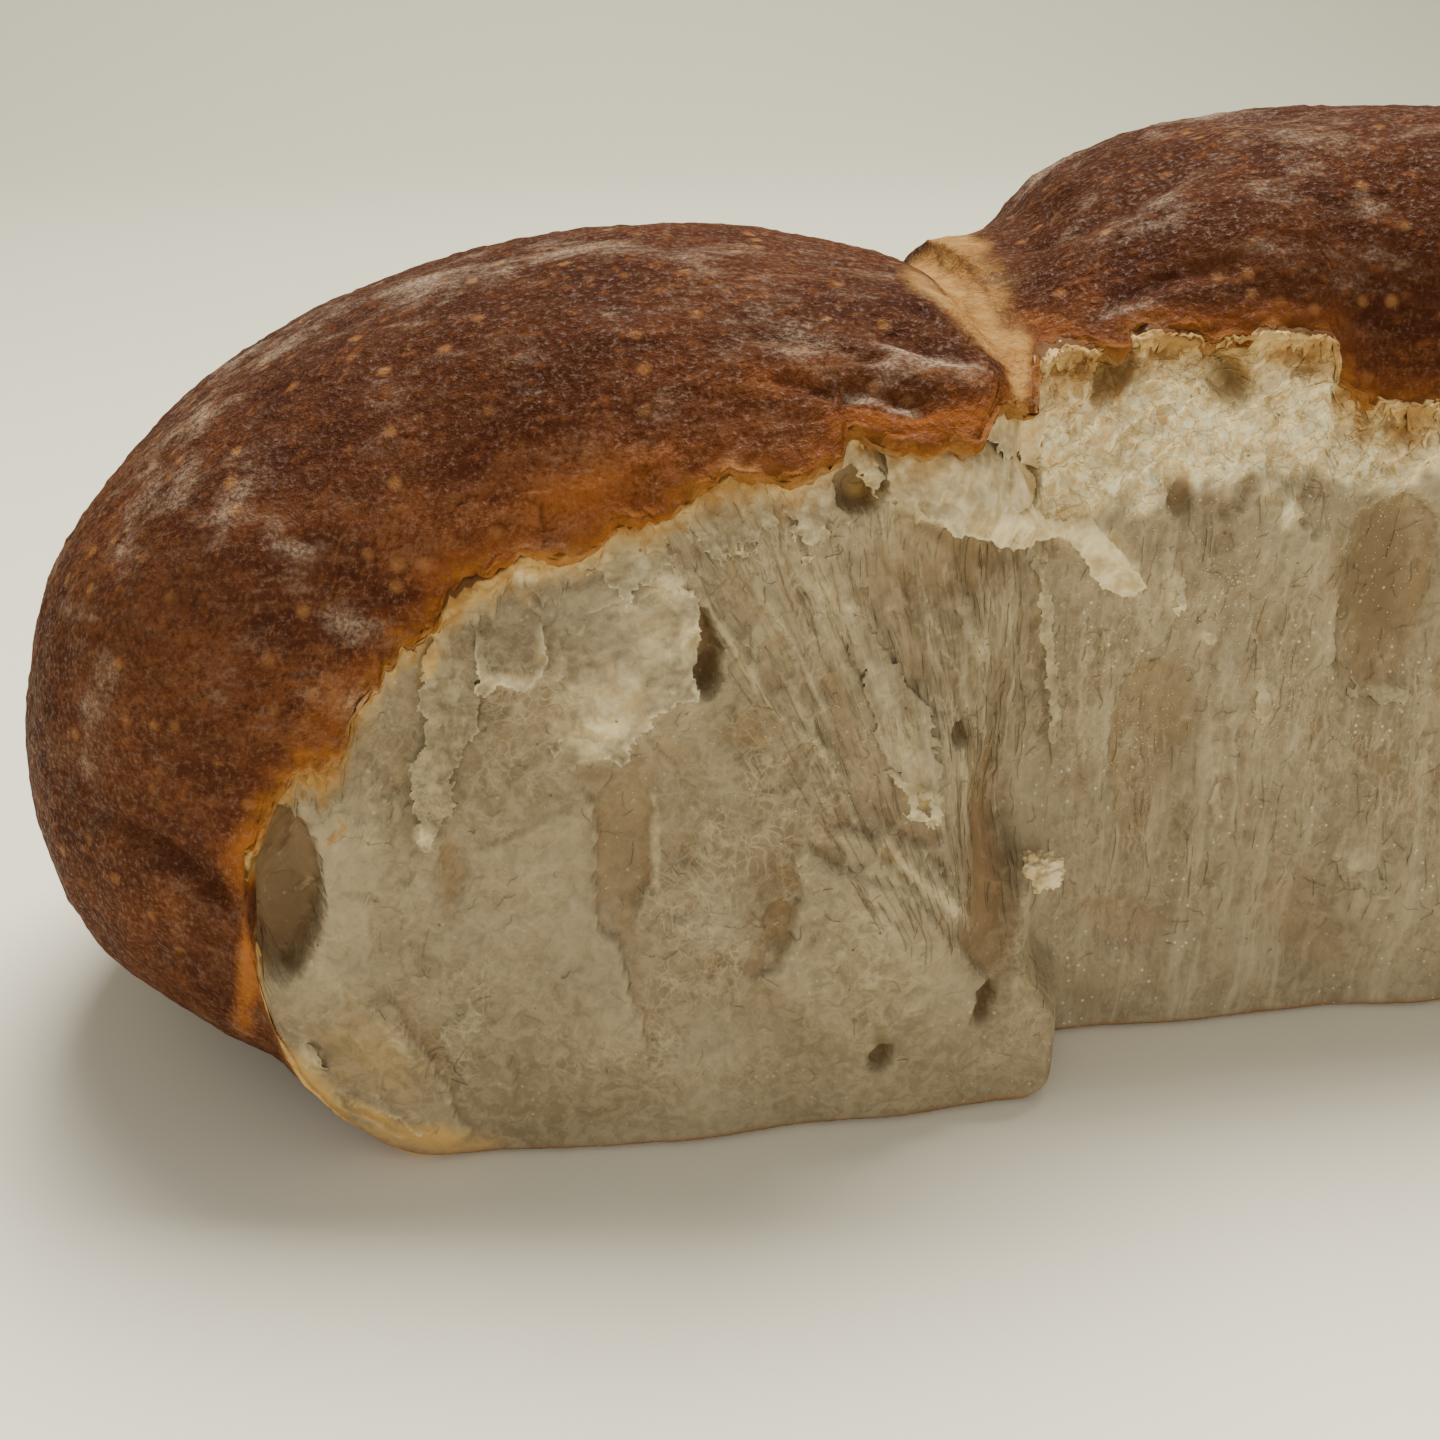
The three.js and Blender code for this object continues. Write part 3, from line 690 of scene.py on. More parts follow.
# Crust: stations along the pair, and points of each section's top, back, base and broken edge.
CRUST_STATIONS = 350
CRUST_POINTS = dict(top=122, back=96, base=22, edge=16)
EDGE_HALF = CRUST_POINTS["edge"] // 2
CRUST_THICK = 1.5
END_CROWDING = 0.1125  # how much closer together the stations are at the two ends


def crust_ring(x):
    """One section of the crust as y and z, its driving values, and its rim and foot points."""
    s = section_at(x)
    rim = s["rim"]
    least = s["widest"] + OPEN_HALF
    if s["torn"] and rim > least + 0.01:
        rim = max(float(broken_rim(s["x"])), least)
    rim_angle = math.degrees(math.asin(clamp((rim - s["widest"]) / s["crown"], 0, 1) ** (FRONT_POWER / 2)))
    top = quarter(s["middle_y"], s["widest"], -s["front"], s["crown"], FRONT_POWER, rim_angle, 90)
    top = evenly(top, CRUST_POINTS["top"] + 1)
    back = np.concatenate([
        quarter(s["middle_y"], s["widest"], s["back"], s["crown"], BACK_POWER, 90, 0),
        quarter(s["middle_y"], s["widest"], s["back"], -s["under"], UNDER_POWER, 0, 90),
    ])
    touching = np.nonzero(back[:, 1] <= 0)[0]
    if len(touching):
        back = back[:touching[0] + 1]
    back = evenly(back, CRUST_POINTS["back"] + 1)
    foot_share = clamp((s["widest"] - s["foot"]) / s["under"], 0, 1)
    foot_angle = math.degrees(math.asin(foot_share ** (UNDER_POWER / 2)))
    base = quarter(s["middle_y"], s["widest"], -s["front_under"], -s["under"], UNDER_POWER, 90, foot_angle)
    base = evenly(np.concatenate([back[-1:], base]), CRUST_POINTS["base"] + 1)
    if s["torn"]:
        # the crust's broken edge turns into the bread at the foot, and again at the rim
        turn = np.linspace(0, 1, EDGE_HALF + 1)[1:]
        foot_y, foot_z = base[-1]
        thick = 0.5 + ramp(foot_z, 0, 4)
        low = np.stack([foot_y + 3.2 * turn ** 1.6, foot_z + thick * np.sin(turn * math.pi / 2)], 1)
        rim_y, rim_z = top[0]
        deep = np.sin(turn * math.pi / 2) * CRUST_THICK
        high = np.stack([rim_y + 3.6 * turn ** 1.5 + 0.1, rim_z - deep], 1)
        edge = np.concatenate([low, high[::-1]])
    else:
        z = np.linspace(s["foot"], rim, CRUST_POINTS["edge"] + 2)[1:-1]
        edge = np.stack([front_y(s, z), z], 1)
    ring = np.concatenate([top, back[1:], base[1:], edge])
    return ring, s, (top[0], base[-1])


# Folds and cracks of the crust on its shown side: depth, half-width, dusting, and pixels.
CREASES = [
    (0.9, 0.9, 0.0, ((862, 316), (895, 335), (925, 354), (955, 367), (984, 373))),
    (-0.4, 0.6, 0.5, ((878, 346), (905, 356), (940, 372), (985, 384))),
    (0.7, 0.8, 0.0, ((835, 384), (868, 393), (905, 406), (940, 412))),
    (-0.4, 0.5, 0.3, ((845, 366), (895, 372), (950, 388), (1010, 396))),
    (0.8, 0.3, 0.0, ((900, 300), (930, 312), (957, 338), (985, 354), (1008, 364))),
    (0.7, 0.6, 0.0, ((760, 372), (810, 386), (870, 402))),
    (0.6, 0.6, 0.1, ((730, 330), (790, 338), (850, 352), (900, 372))),
    (0.8, 0.7, 0.0, ((60, 800), (110, 822), (165, 850), (205, 882), (246, 910))),
    (0.5, 0.13, 0.0, ((538, 488), (543, 510), (541, 535), (548, 562))),
    (0.5, 0.9, 0.0, ((250, 935), (215, 950), (170, 960), (130, 940))),
    (0.6, 0.9, 0.0, ((1000, 262), (1060, 240), (1130, 205), (1190, 160))),
    (0.5, 0.8, 0.0, ((1080, 330), (1120, 300), (1180, 275), (1260, 255))),
    (0.5, 0.8, 0.2, ((1180, 110), (1240, 118), (1310, 112), (1380, 118))),
]
# Flour on the crust: the middle of a patch, its half-sizes, its lean in degrees and its strength.
DUSTED = [
    (200, 400, 130, 34, -52, 0.5), (130, 520, 100, 22, -68, 0.45), (290, 330, 120, 24, -32, 0.4),
    (300, 570, 24, 70, -25, 0.5), (340, 618, 50, 18, 28, 0.55), (250, 480, 60, 20, -50, 0.4),
    (90, 700, 80, 16, -85, 0.3), (420, 290, 130, 22, -18, 0.3), (560, 340, 120, 20, -12, 0.2),
    (700, 250, 90, 12, 4, 0.2), (800, 345, 60, 14, 12, 0.35), (905, 352, 28, 8, 24, 1.0),
    (950, 372, 34, 7, 20, 0.9), (858, 396, 30, 6, 12, 0.8), (905, 410, 22, 5, 12, 0.7),
    (590, 250, 60, 14, -4, 0.4),
    (1172, 200, 34, 20, -40, 0.5), (1300, 135, 70, 14, 0, 0.45), (1270, 185, 50, 10, -20, 0.35),
    (1110, 240, 40, 12, -30, 0.3), (1390, 210, 50, 12, 10, 0.35),
]
# Paler, more orange places on the crust, in the same way.
WARMED = [
    (590, 490, 130, 38, -22, 0.62), (330, 700, 32, 96, 32, 0.45), (760, 380, 90, 22, -8, 0.35),
    (240, 860, 26, 60, 12, 0.5), (1080, 300, 60, 26, -20, 0.3), (1180, 310, 90, 20, 0, 0.25),
    (1400, 350, 60, 22, 0, 0.25), (160, 900, 70, 40, 25, 0.25), (950, 424, 70, 12, -5, 1.0),
    (870, 420, 40, 12, 10, 0.8), (1040, 320, 46, 14, 10, 0.45), (960, 240, 34, 12, -30, 0.7),
    (250, 965, 15, 60, 6, 1.0), (250, 860, 24, 46, 0, 0.7),
]
# The pale valley between the rolls, in the same way.
VALLEY = [(966, 308, 84, 18, 46, 1.0), (930, 272, 26, 20, 40, 0.8), (1000, 340, 20, 20, 0, 0.8),
          (1018, 368, 13, 44, 0, 1.0), (985, 290, 60, 22, 46, 0.45), (950, 254, 54, 27, 34, 1.0)]


def painted(patches, px, py, wander):
    """The strongest of soft patches at each pixel."""
    total = np.zeros(px.shape)
    spread = np.maximum(1 + 0.6 * wander, 0.3)
    for at_x, at_y, rx, ry, lean, strength in patches:
        along, across = leaning(px - at_x, py - at_y, -lean)
        total = np.maximum(total, strength * np.exp(-((along / rx) ** 2 + (across / ry) ** 2) * spread))
    return total


def seam_line(y):
    """Where the valley between the two lobes runs."""
    return -5.6 + 0.02 * (y + 30) + 0.5 * np.sin(y / 6)


def distance_to(line, points):
    """How far each point of a grid is from the nearest of a line's points."""
    tree = KDTree(len(line))
    for i, p in enumerate(line):
        tree.insert(p, i)
    tree.balance()
    return np.array([tree.find(p)[2] for p in points.reshape(-1, 3).tolist()]).reshape(points.shape[:2])


CREASE_MARGIN = 60  # pixels round a crease that it is worked out for


def drawn_creases(place, px, py, pixel, shown):
    """How deep the folds and cracks are at each point, and how dusted they make it."""
    crease = np.zeros(px.shape)
    dusted = np.zeros(px.shape)
    for depth, width, dust, pixels in CREASES:
        line = curve_through(np.array(pixels, float))
        near = shown > 0
        for at, run in ((px, line[:, 0]), (py, line[:, 1])):
            near &= (at > run.min() - CREASE_MARGIN) & (at < run.max() + CREASE_MARGIN)
        away, share = near_line(line, px[near], py[near])
        away = np.abs(away) * pixel[near] + 0.3 * noise(*(v[near] / 3 for v in place))
        taper = ramp(share, 0, 0.25) * (1 - ramp(share, 0.8, 1)) * shown[near]
        crease[near] += depth * taper * bell(away, 0, width)
        dusted[near] = np.maximum(dusted[near], dust * taper * bell(away, 0, width * 1.6))
    return crease, dusted


def baked_relief(x, y, z, from_rim, broken):
    """The crust's height apart from its creases, and its painted shading: shade in its wrinkles and a
    highlight on its pimples.
    """
    blisters = 0.25 * noise(x / 8, y / 8, z / 8) + 0.12 * octaves(x / 2.6, y / 2.6, z / 2.6, 3)
    spots, _, drawn = cells(x / 1.9 + z / 9, (y + z) / 2.0, 23)
    pimples = clamp(1 - (spots / 0.40) ** 2, 0, 1) * (drawn > 0.4)
    wrinkles = ridges(x / 9, (y + 1.2 * z) / 1.5, 3.7, 2) ** 3 * (1 - ramp(np.abs(from_rim), 3, 26))
    seam = bell(x - seam_line(y), 0, 1.5) * ramp(z, 30, 50)
    # beside the valley, the left roll's crust ends in a raised tip and the right one's flank rises
    tip = np.exp(-(((x + 9.5) / 4.5) ** 2 + ((y + 35) / 5) ** 2)) * ramp(z, 50, 58)
    tip = tip * (1 - ramp(x - seam_line(y), -0.3, 0.8))
    flank = bell(x, -1.6, 2.8) * ramp(y, -22, -6) * ramp(z, 45, 58)
    flank = flank - 0.35 * bell(x, 4.5, 2.5) * ramp(y, -15, 0)
    crumbly = octaves(x / 1.5, y / 1.5, z / 1.5, 3, 0.6) * np.where(broken, 1, 1 - ramp(from_rim, 0, 1.2))
    height = blisters + 0.12 * pimples - 0.2 * wrinkles - 0.5 * seam + 2.6 * flank
    return height + 1.1 * tip + 1.2 * crumbly, 0.2 * wrinkles - 0.5 * pimples


def crust_faces(rows, columns, torn):
    """The crust's faces, open along its broken edge, and the fans round the point at each end."""
    faces = grid_faces(rows, columns, wrap=True)
    keep = np.ones(faces.shape[:2], bool)
    keep[torn[:-1] & torn[1:], columns - EDGE_HALF - 1] = False
    pole = rows * columns
    last = pole - columns
    fans = []
    for c in range(columns):
        n = (c + 1) % columns
        fans.append([pole, c, n])
        fans.append([pole + 1, last + n, last + c])
    return faces[keep].tolist() + fans


def build_crust():
    t = np.linspace(-1, 1, CRUST_STATIONS + 1)[1:-1]
    stations = END * ((1 + END_CROWDING) * t - END_CROWDING * np.sign(t) * np.abs(t) ** 9)
    rings, sections, borders = zip(*(crust_ring(float(x)) for x in stations))
    flat = np.stack(rings)
    x = np.broadcast_to(stations[:, None], flat.shape[:2])
    points = np.dstack([x, flat])
    centre = np.stack([stations, [s["middle_y"] for s in sections], [s["widest"] for s in sections]], 1)
    out = points - centre[:, None, :]
    size = np.linalg.norm(out[..., 1:], axis=-1)
    normals = grid_normals(points)
    normals = np.where((normals * out).sum(-1, keepdims=True) < 0, -normals, normals)
    y, z = points[..., 1].copy(), points[..., 2].copy()

    # the broken edge, on which distances from the rim and the foot count as negative
    torn = np.array([s["torn"] for s in sections])
    edge_low, edge_high, broken = (np.zeros(x.shape, bool) for _ in range(3))
    edge_low[torn, -2 * EDGE_HALF:-EDGE_HALF] = True
    edge_high[torn, -EDGE_HALF:] = True
    broken[torn, -2 * EDGE_HALF:] = True
    rim_line, foot_line = ([(s["x"], *border[k]) for s, border in zip(sections, borders) if s["torn"]]
                           for k in (0, 1))
    from_rim = distance_to(rim_line, points) * np.where(edge_high, -1, 1)
    from_foot = distance_to(foot_line, points) * np.where(edge_low, -1, 1)

    waves = 1.2 * uneven(x, y, z, 62, 3) + 0.55 * uneven(x, y, z, 27, 8)
    rise = smooth(z / 8) * smooth(size / 12)
    points[..., 1:] += out[..., 1:] / np.maximum(size, 1e-6)[..., None] * (rise * waves)[..., None]

    # what the photograph shows, and a guess elsewhere
    px, py = pictured(points)
    to_eye = EYE - points
    distance = np.linalg.norm(to_eye, axis=-1)
    shown = ramp((normals * to_eye).sum(-1) / distance, 0.05, 0.2) * ~broken
    crease, dusted = drawn_creases((x, y, z), px, py, distance / FOCAL, shown)
    wander = noise(x / 7, y / 7, z / 7)
    dusted, warmed, valley = (np.maximum(start, shown * painted(patches, px, py, wander))
                              for start, patches in ((dusted, DUSTED), (0, WARMED), (0, VALLEY)))
    elsewhere = ramp(noise(x / 16, y / 11, z / 12 + 7), 0.15, 0.6) * ramp(normals[..., 2], 0.1, 0.6)
    dusted = np.maximum(dusted, (1 - shown) * 0.4 * elsewhere * ~broken)
    patchy = noise(x / 5, y / 5, z / 7)
    hidden = bell(x - seam_line(y) + 1.2 * noise(y / 6, z / 6, 3.3), 0.3, 1.5 + patchy)
    valley = np.maximum(valley, (1 - shown) * hidden * ramp(z + 14 * patchy, 22, 46))

    relief, bump_shading = baked_relief(x, y, z, from_rim, broken)
    held = ramp(z, 0.15, 3) * smooth(size / 12) * np.where(broken, 0.3, 1)
    points += normals * ((relief - crease) * held)[..., None]
    points[..., 2] = np.maximum(points[..., 2], 0)
    poles = [(side * END, lobe["widest_y"], lobe["widest"]) for side, lobe in ((-1, LEFT), (1, RIGHT))]

    def with_poles(v):
        return np.concatenate([v.ravel(), v[0, :1], v[-1, :1]])

    corner = 1 - 0.2 * (1 - ramp(x, -60, -46)) - 0.2 * ramp(x, 56, 70)
    # the last of these values is painted shade in folds, creases and wrinkles and painted highlight on
    # pimples
    values = dict(rim=from_rim, foot=from_foot * corner, seam=valley, dust=dusted, warm=warmed,
                  relief_shading=crease + bump_shading)
    return add_piece("crust", np.concatenate([points.reshape(-1, 3), poles]), crust_faces(*x.shape, torn),
                     {key: with_poles(value) for key, value in values.items()})


# Paler places of the crumb and its films, partly their own paler tone and partly painted light on films
# and edges: the middle of a patch, its half-sizes, its lean in degrees and its strength, in the picture's
# pixels.
PALE_AND_LIT = [
    (600, 732, 44, 22, -5, 0.9), (672, 592, 32, 26, 30, 0.7), (688, 640, 16, 50, 0, 0.65),
    (618, 700, 54, 46, 0, 0.6), (655, 640, 40, 56, 0, 0.5), (868, 960, 70, 110, 0, 0.36),
    (524, 574, 40, 9, -8, 0.85), (512, 682, 36, 10, 0, 0.9), (541, 650, 8, 26, 0, 0.6),
    (480, 650, 9, 40, 0, 0.4), (615, 562, 46, 16, -20, 0.6), (424, 838, 10, 13, 0, 0.8),
    (434, 765, 13, 84, 8, 0.35), (836, 600, 30, 13, 35, 0.55), (878, 685, 62, 12, 62, 0.35),
    (912, 758, 46, 16, 66, 0.4), (922, 800, 20, 10, 20, 0.9), (800, 480, 70, 12, -16, 0.55),
    (960, 512, 84, 17, 12, 1.0), (1062, 526, 26, 16, 20, 1.0), (1106, 552, 46, 18, 50, 1.0),
    (970, 458, 50, 8, 8, 0.8), (905, 470, 30, 22, 0, 0.55), (870, 462, 20, 12, -20, 0.7),
    (835, 838, 44, 12, 8, 0.55), (905, 868, 60, 9, 42, 0.7), (950, 905, 40, 9, 40, 0.6),
    (1028, 985, 20, 22, 0, 0.45), (655, 850, 7, 60, 0, 0.45), (745, 955, 30, 10, 0, 0.25),
    (735, 650, 70, 7, 58, 0.4), (815, 740, 60, 7, 62, 0.5), (975, 640, 12, 30, -20, 0.6),
    (1040, 600, 8, 70, 0, 0.5), (700, 930, 50, 10, -10, 0.2), (1172, 590, 9, 24, 0, 0.8),
    (1208, 637, 10, 6, 0, 0.9), (1260, 700, 10, 34, 0, 0.55), (1215, 760, 12, 90, 0, 0.3),
    (1085, 700, 10, 110, 0, 0.3), (1355, 868, 26, 24, 0, 0.35),
    (330, 800, 34, 12, 30, 0.3), (350, 1098, 60, 8, 28, 0.5), (450, 1085, 14, 34, -28, 0.35),
    (310, 1060, 20, 14, 40, 0.6), (340, 990, 60, 10, 42, 0.4), (395, 1040, 60, 8, 48, 0.4),
    (1340, 480, 90, 16, 10, 0.4),
]
# Darker, browner places, in the same way: partly the crumb's own browner tone, partly painted shade in holes,
# slits and under films.
BROWN_AND_SHADED = [
    (768, 880, 20, 60, 15, 0.55), (620, 830, 22, 50, 0, 0.3), (700, 800, 30, 40, 0, 0.25),
    (699, 668, 9, 26, 0, 1.0), (862, 492, 24, 15, 0, 1.0), (1034, 482, 10, 34, 0, 0.9),
    (920, 524, 52, 9, 32, 0.75), (1000, 562, 40, 16, 0, 0.6), (757, 725, 22, 18, 0, 0.45),
    (796, 765, 5, 16, 0, 0.7), (624, 850, 26, 64, 0, 0.4), (592, 775, 24, 12, 0, 0.7),
    (1010, 860, 16, 70, 0, 0.7), (965, 740, 9, 13, 0, 0.9), (880, 1040, 10, 14, 0, 0.8),
    (993, 992, 9, 14, 0, 0.7), (745, 900, 30, 46, 0, 0.3), (950, 870, 30, 24, 40, 0.5),
    (332, 1048, 36, 20, 40, 0.45), (440, 1020, 40, 12, 55, 0.3), (1122, 382, 28, 13, -40, 0.95),
    (1232, 376, 34, 16, 50, 0.9), (1210, 486, 12, 26, 0, 0.5), (1158, 492, 20, 16, 0, 0.45),
    (1298, 488, 16, 12, 0, 0.4), (1160, 750, 34, 92, 0, 0.4), (1370, 575, 42, 96, 0, 1.0),
    (650, 820, 44, 62, 0, 0.3), (1060, 590, 16, 60, 0, 0.35), (1310, 930, 70, 14, -8, 0.45),
    (1180, 905, 40, 12, 0, 0.25),
    (720, 560, 30, 16, 50, 0.3), (900, 600, 26, 60, -30, 0.25), (420, 690, 16, 30, -30, 0.35),
    (290, 890, 28, 72, 0, 0.8), (1088, 990, 30, 40, 0, 0.5), (780, 850, 14, 60, 20, 0.2),
    (292, 958, 18, 14, 0, 1.0),
]
# Yellower places.
YELLOW = [
    (303, 1082, 84, 19, 45, 1.0), (425, 1137, 66, 15, 8, 1.0), (862, 488, 24, 16, 0, 0.7),
    (940, 468, 60, 26, 4, 0.4), (700, 668, 7, 24, 0, 0.2), (1033, 480, 10, 34, 0, 0.5),
    (1070, 400, 58, 46, 0, 0.5), (1100, 455, 60, 30, 0, 0.35), (430, 664, 9, 20, 25, 1.0),
    (455, 610, 16, 34, 38, 0.6), (526, 596, 16, 16, 0, 0.4), (925, 468, 34, 22, 0, 0.6),
    (1000, 482, 26, 10, 0, 0.3), (1164, 421, 6, 4, 0, 1.0), (375, 1116, 36, 9, 24, 1.0),
    (300, 1080, 30, 12, 48, 0.5), (345, 1075, 20, 26, -40, 0.35), (256, 985, 12, 40, 0, 0.7),
    (1190, 345, 60, 10, 0, 0.5), (285, 1010, 26, 16, 0, 0.3), (757, 742, 14, 10, 0, 0.35),
    (450, 1140, 50, 9, 0, 0.5), (375, 1055, 96, 46, 40, 0.42), (560, 578, 60, 8, -10, 0.3),
    (770, 500, 60, 8, -20, 0.3),
]
# Places where the net of cells is plain to see.
NETTED = [
    (700, 850, 64, 90, 0, 0.45), (560, 900, 40, 60, 0, 0.3), (420, 900, 40, 60, 0, 0.3),
    (680, 1000, 60, 50, 0, 0.4), (1160, 760, 60, 120, 0, 0.5), (390, 740, 40, 60, 0, 0.5),
]


def skin(points, lip):
    """What the crumb's shader needs at points, for the crumb and for all that hangs on it."""
    x, y, z = points.T
    px, py = pictured(points)
    wander = noise(x / 2.2, y / 2.2, z / 2.2) + 0.6 * noise(x / 0.8, y / 0.8, z / 0.8)
    zeros = np.zeros(x.shape)
    fibres, right, lace, busy = makeup(x, z)
    pale, brown, gold, netted = (painted(patches, px, py, wander)
                                 for patches in (PALE_AND_LIT, BROWN_AND_SHADED, YELLOW, NETTED))
    return dict(fibre=pulled_s(x, z), up=z, long=np.maximum(fibres, 0.8 * right * (1 - lace)), lace=lace,
                busy=busy, rim=broken_rim(x) - z, foot=z - foot_height(x), pale=pale, brown=brown, gold=gold,
                netted=netted, lip=lip, near=zeros, broad=zeros)


# Torn crumb: a fine grid over the torn side, finest where the photograph shows it, tucked in behind
# the crust at its edges.
CRUMB_SHOWN_COLUMNS = 372
CRUMB_FAR_COLUMNS = 92
CRUMB_FAR_FROM = 33.0
CRUMB_ROWS = 200
TUCK_ROWS = 4
TUCK_DEPTH = 3.5
SHELF = 4.0  # where the crust's dome shows through, the rim value is this much lower
NEAR_BLUR = 5
BROAD_BLUR = 22


def build_crumb():
    near = np.linspace(TORN_ENDS[0], CRUMB_FAR_FROM, CRUMB_SHOWN_COLUMNS)
    x = np.concatenate([near, np.linspace(CRUMB_FAR_FROM, TORN_ENDS[1], CRUMB_FAR_COLUMNS + 1)[1:]])
    sections = [section_at(clamp(v, TORN_ENDS[0] + 0.01, TORN_ENDS[1] - 0.01)) for v in x]
    rim = np.array([max(s["widest"] + OPEN_HALF * plan_at(s["x"]), float(broken_rim(s["x"])))
                    for s in sections])
    foot = np.array([s["foot"] for s in sections])
    z = mix(foot[:, None] + 0.3, rim[:, None] - 0.12, np.linspace(0, 1, CRUMB_ROWS)[None, :])
    grid_x = np.broadcast_to(x[:, None], z.shape)
    relief, lip = torn_relief(grid_x, z)
    held = smooth((rim[:, None] - z) / 1.6) * (0.3 + 0.7 * smooth((z - foot[:, None]) / 2.5))
    y = torn_y(grid_x, z, relief * held)
    dome = np.stack([front_y(section, z[i]) for i, section in enumerate(sections)]) + 0.1
    bare = ramp(dome - y, 0, 0.4)
    y = np.maximum(y, dome)
    deep = y - torn_plane(grid_x, z)
    tuck = np.linspace(0, 1, TUCK_ROWS + 1)[1:]
    low, high = (
        np.dstack([np.broadcast_to(x[:, None], (len(x), TUCK_ROWS)), y[:, [at]] + TUCK_DEPTH * share,
                   z[:, [at]] + rise * share])
        for at, rise, share in ((0, -0.25, tuck[::-1]), (-1, 0.06, tuck)))
    points = np.concatenate([low, np.dstack([grid_x, y, z]), high], 1)

    def widen(v):
        return np.pad(v, ((0, 0), (TUCK_ROWS, TUCK_ROWS)), mode="edge").ravel()

    values = skin(points.reshape(-1, 3), widen(lip))
    # near and broad: how far each point lies below its blurred surroundings, for painted shade in hollows and
    # painted highlight on swells
    values.update(near=widen(box_blur(deep, NEAR_BLUR) - deep),
                  broad=widen(box_blur(deep, BROAD_BLUR) - deep), rim=values["rim"] - SHELF * widen(bare))
    rows, columns = points.shape[:2]
    return add_piece("crumb", points, grid_faces(rows, columns).reshape(-1, 4).tolist(), values)


# Films: thin torn sheets that stand off the crumb, by the pixels of their outlines.
class Heap:
    """Points, faces and shader values gathered into one piece."""

    def __init__(self):
        self.points, self.faces, self.values, self.count = [], [], {}, 0

    def add(self, points, faces, lip, pale=0.0, gold=0.0):
        """Adds a mesh. Its shader values are the crumb's, made paler or more golden as asked."""
        values = skin(points, np.broadcast_to(lip, len(points)))
        values["pale"] = np.maximum(values["pale"], pale)
        values["gold"] = np.maximum(values["gold"], gold)
        for key, value in values.items():
            self.values.setdefault(key, []).append(value)
        self.points.append(points)
        self.faces += (np.asarray(faces) + self.count).tolist()
        self.count += len(points)

    def piece(self, name):
        values = {key: np.concatenate(value) for key, value in self.values.items()}
        return add_piece(name, np.concatenate(self.points), self.faces, values)


CELL = 0.19  # a film's mesh size
FILM_THICK = 0.2
FILM_HELD = 0.8  # how deep a film's held line lies in the crumb
FRINGE_COLUMNS = 620
FRINGE_ROWS = 12
FRINGE_THICK = 0.18


def closed_sheet(quads, n):
    """Faces of a sheet whose back is its front's points again, from n on, joined along their rims."""
    sides = np.concatenate([quads[:, [k, (k + 1) % 4]] for k in range(4)])
    _, first, times = np.unique(np.sort(sides, 1), axis=0, return_index=True, return_counts=True)
    rims = sides[first[times == 1]]
    walls = np.stack([rims[:, 1], rims[:, 0], rims[:, 0] + n, rims[:, 1] + n], 1)
    return np.concatenate([quads, quads[:, ::-1] + n, walls])


def on_crumb(pixels, off):
    """x and z where pixels of the picture meet a surface that stands off the crumb by this much."""
    y = np.full(len(pixels), TORN_LEFT_Y)
    for _ in range(12):
        x, z = seen(pixels, y).T
        y = mix(y, torn_y(x, np.maximum(z, 0.5)) - off, 0.5)
    return seen(pixels, y)


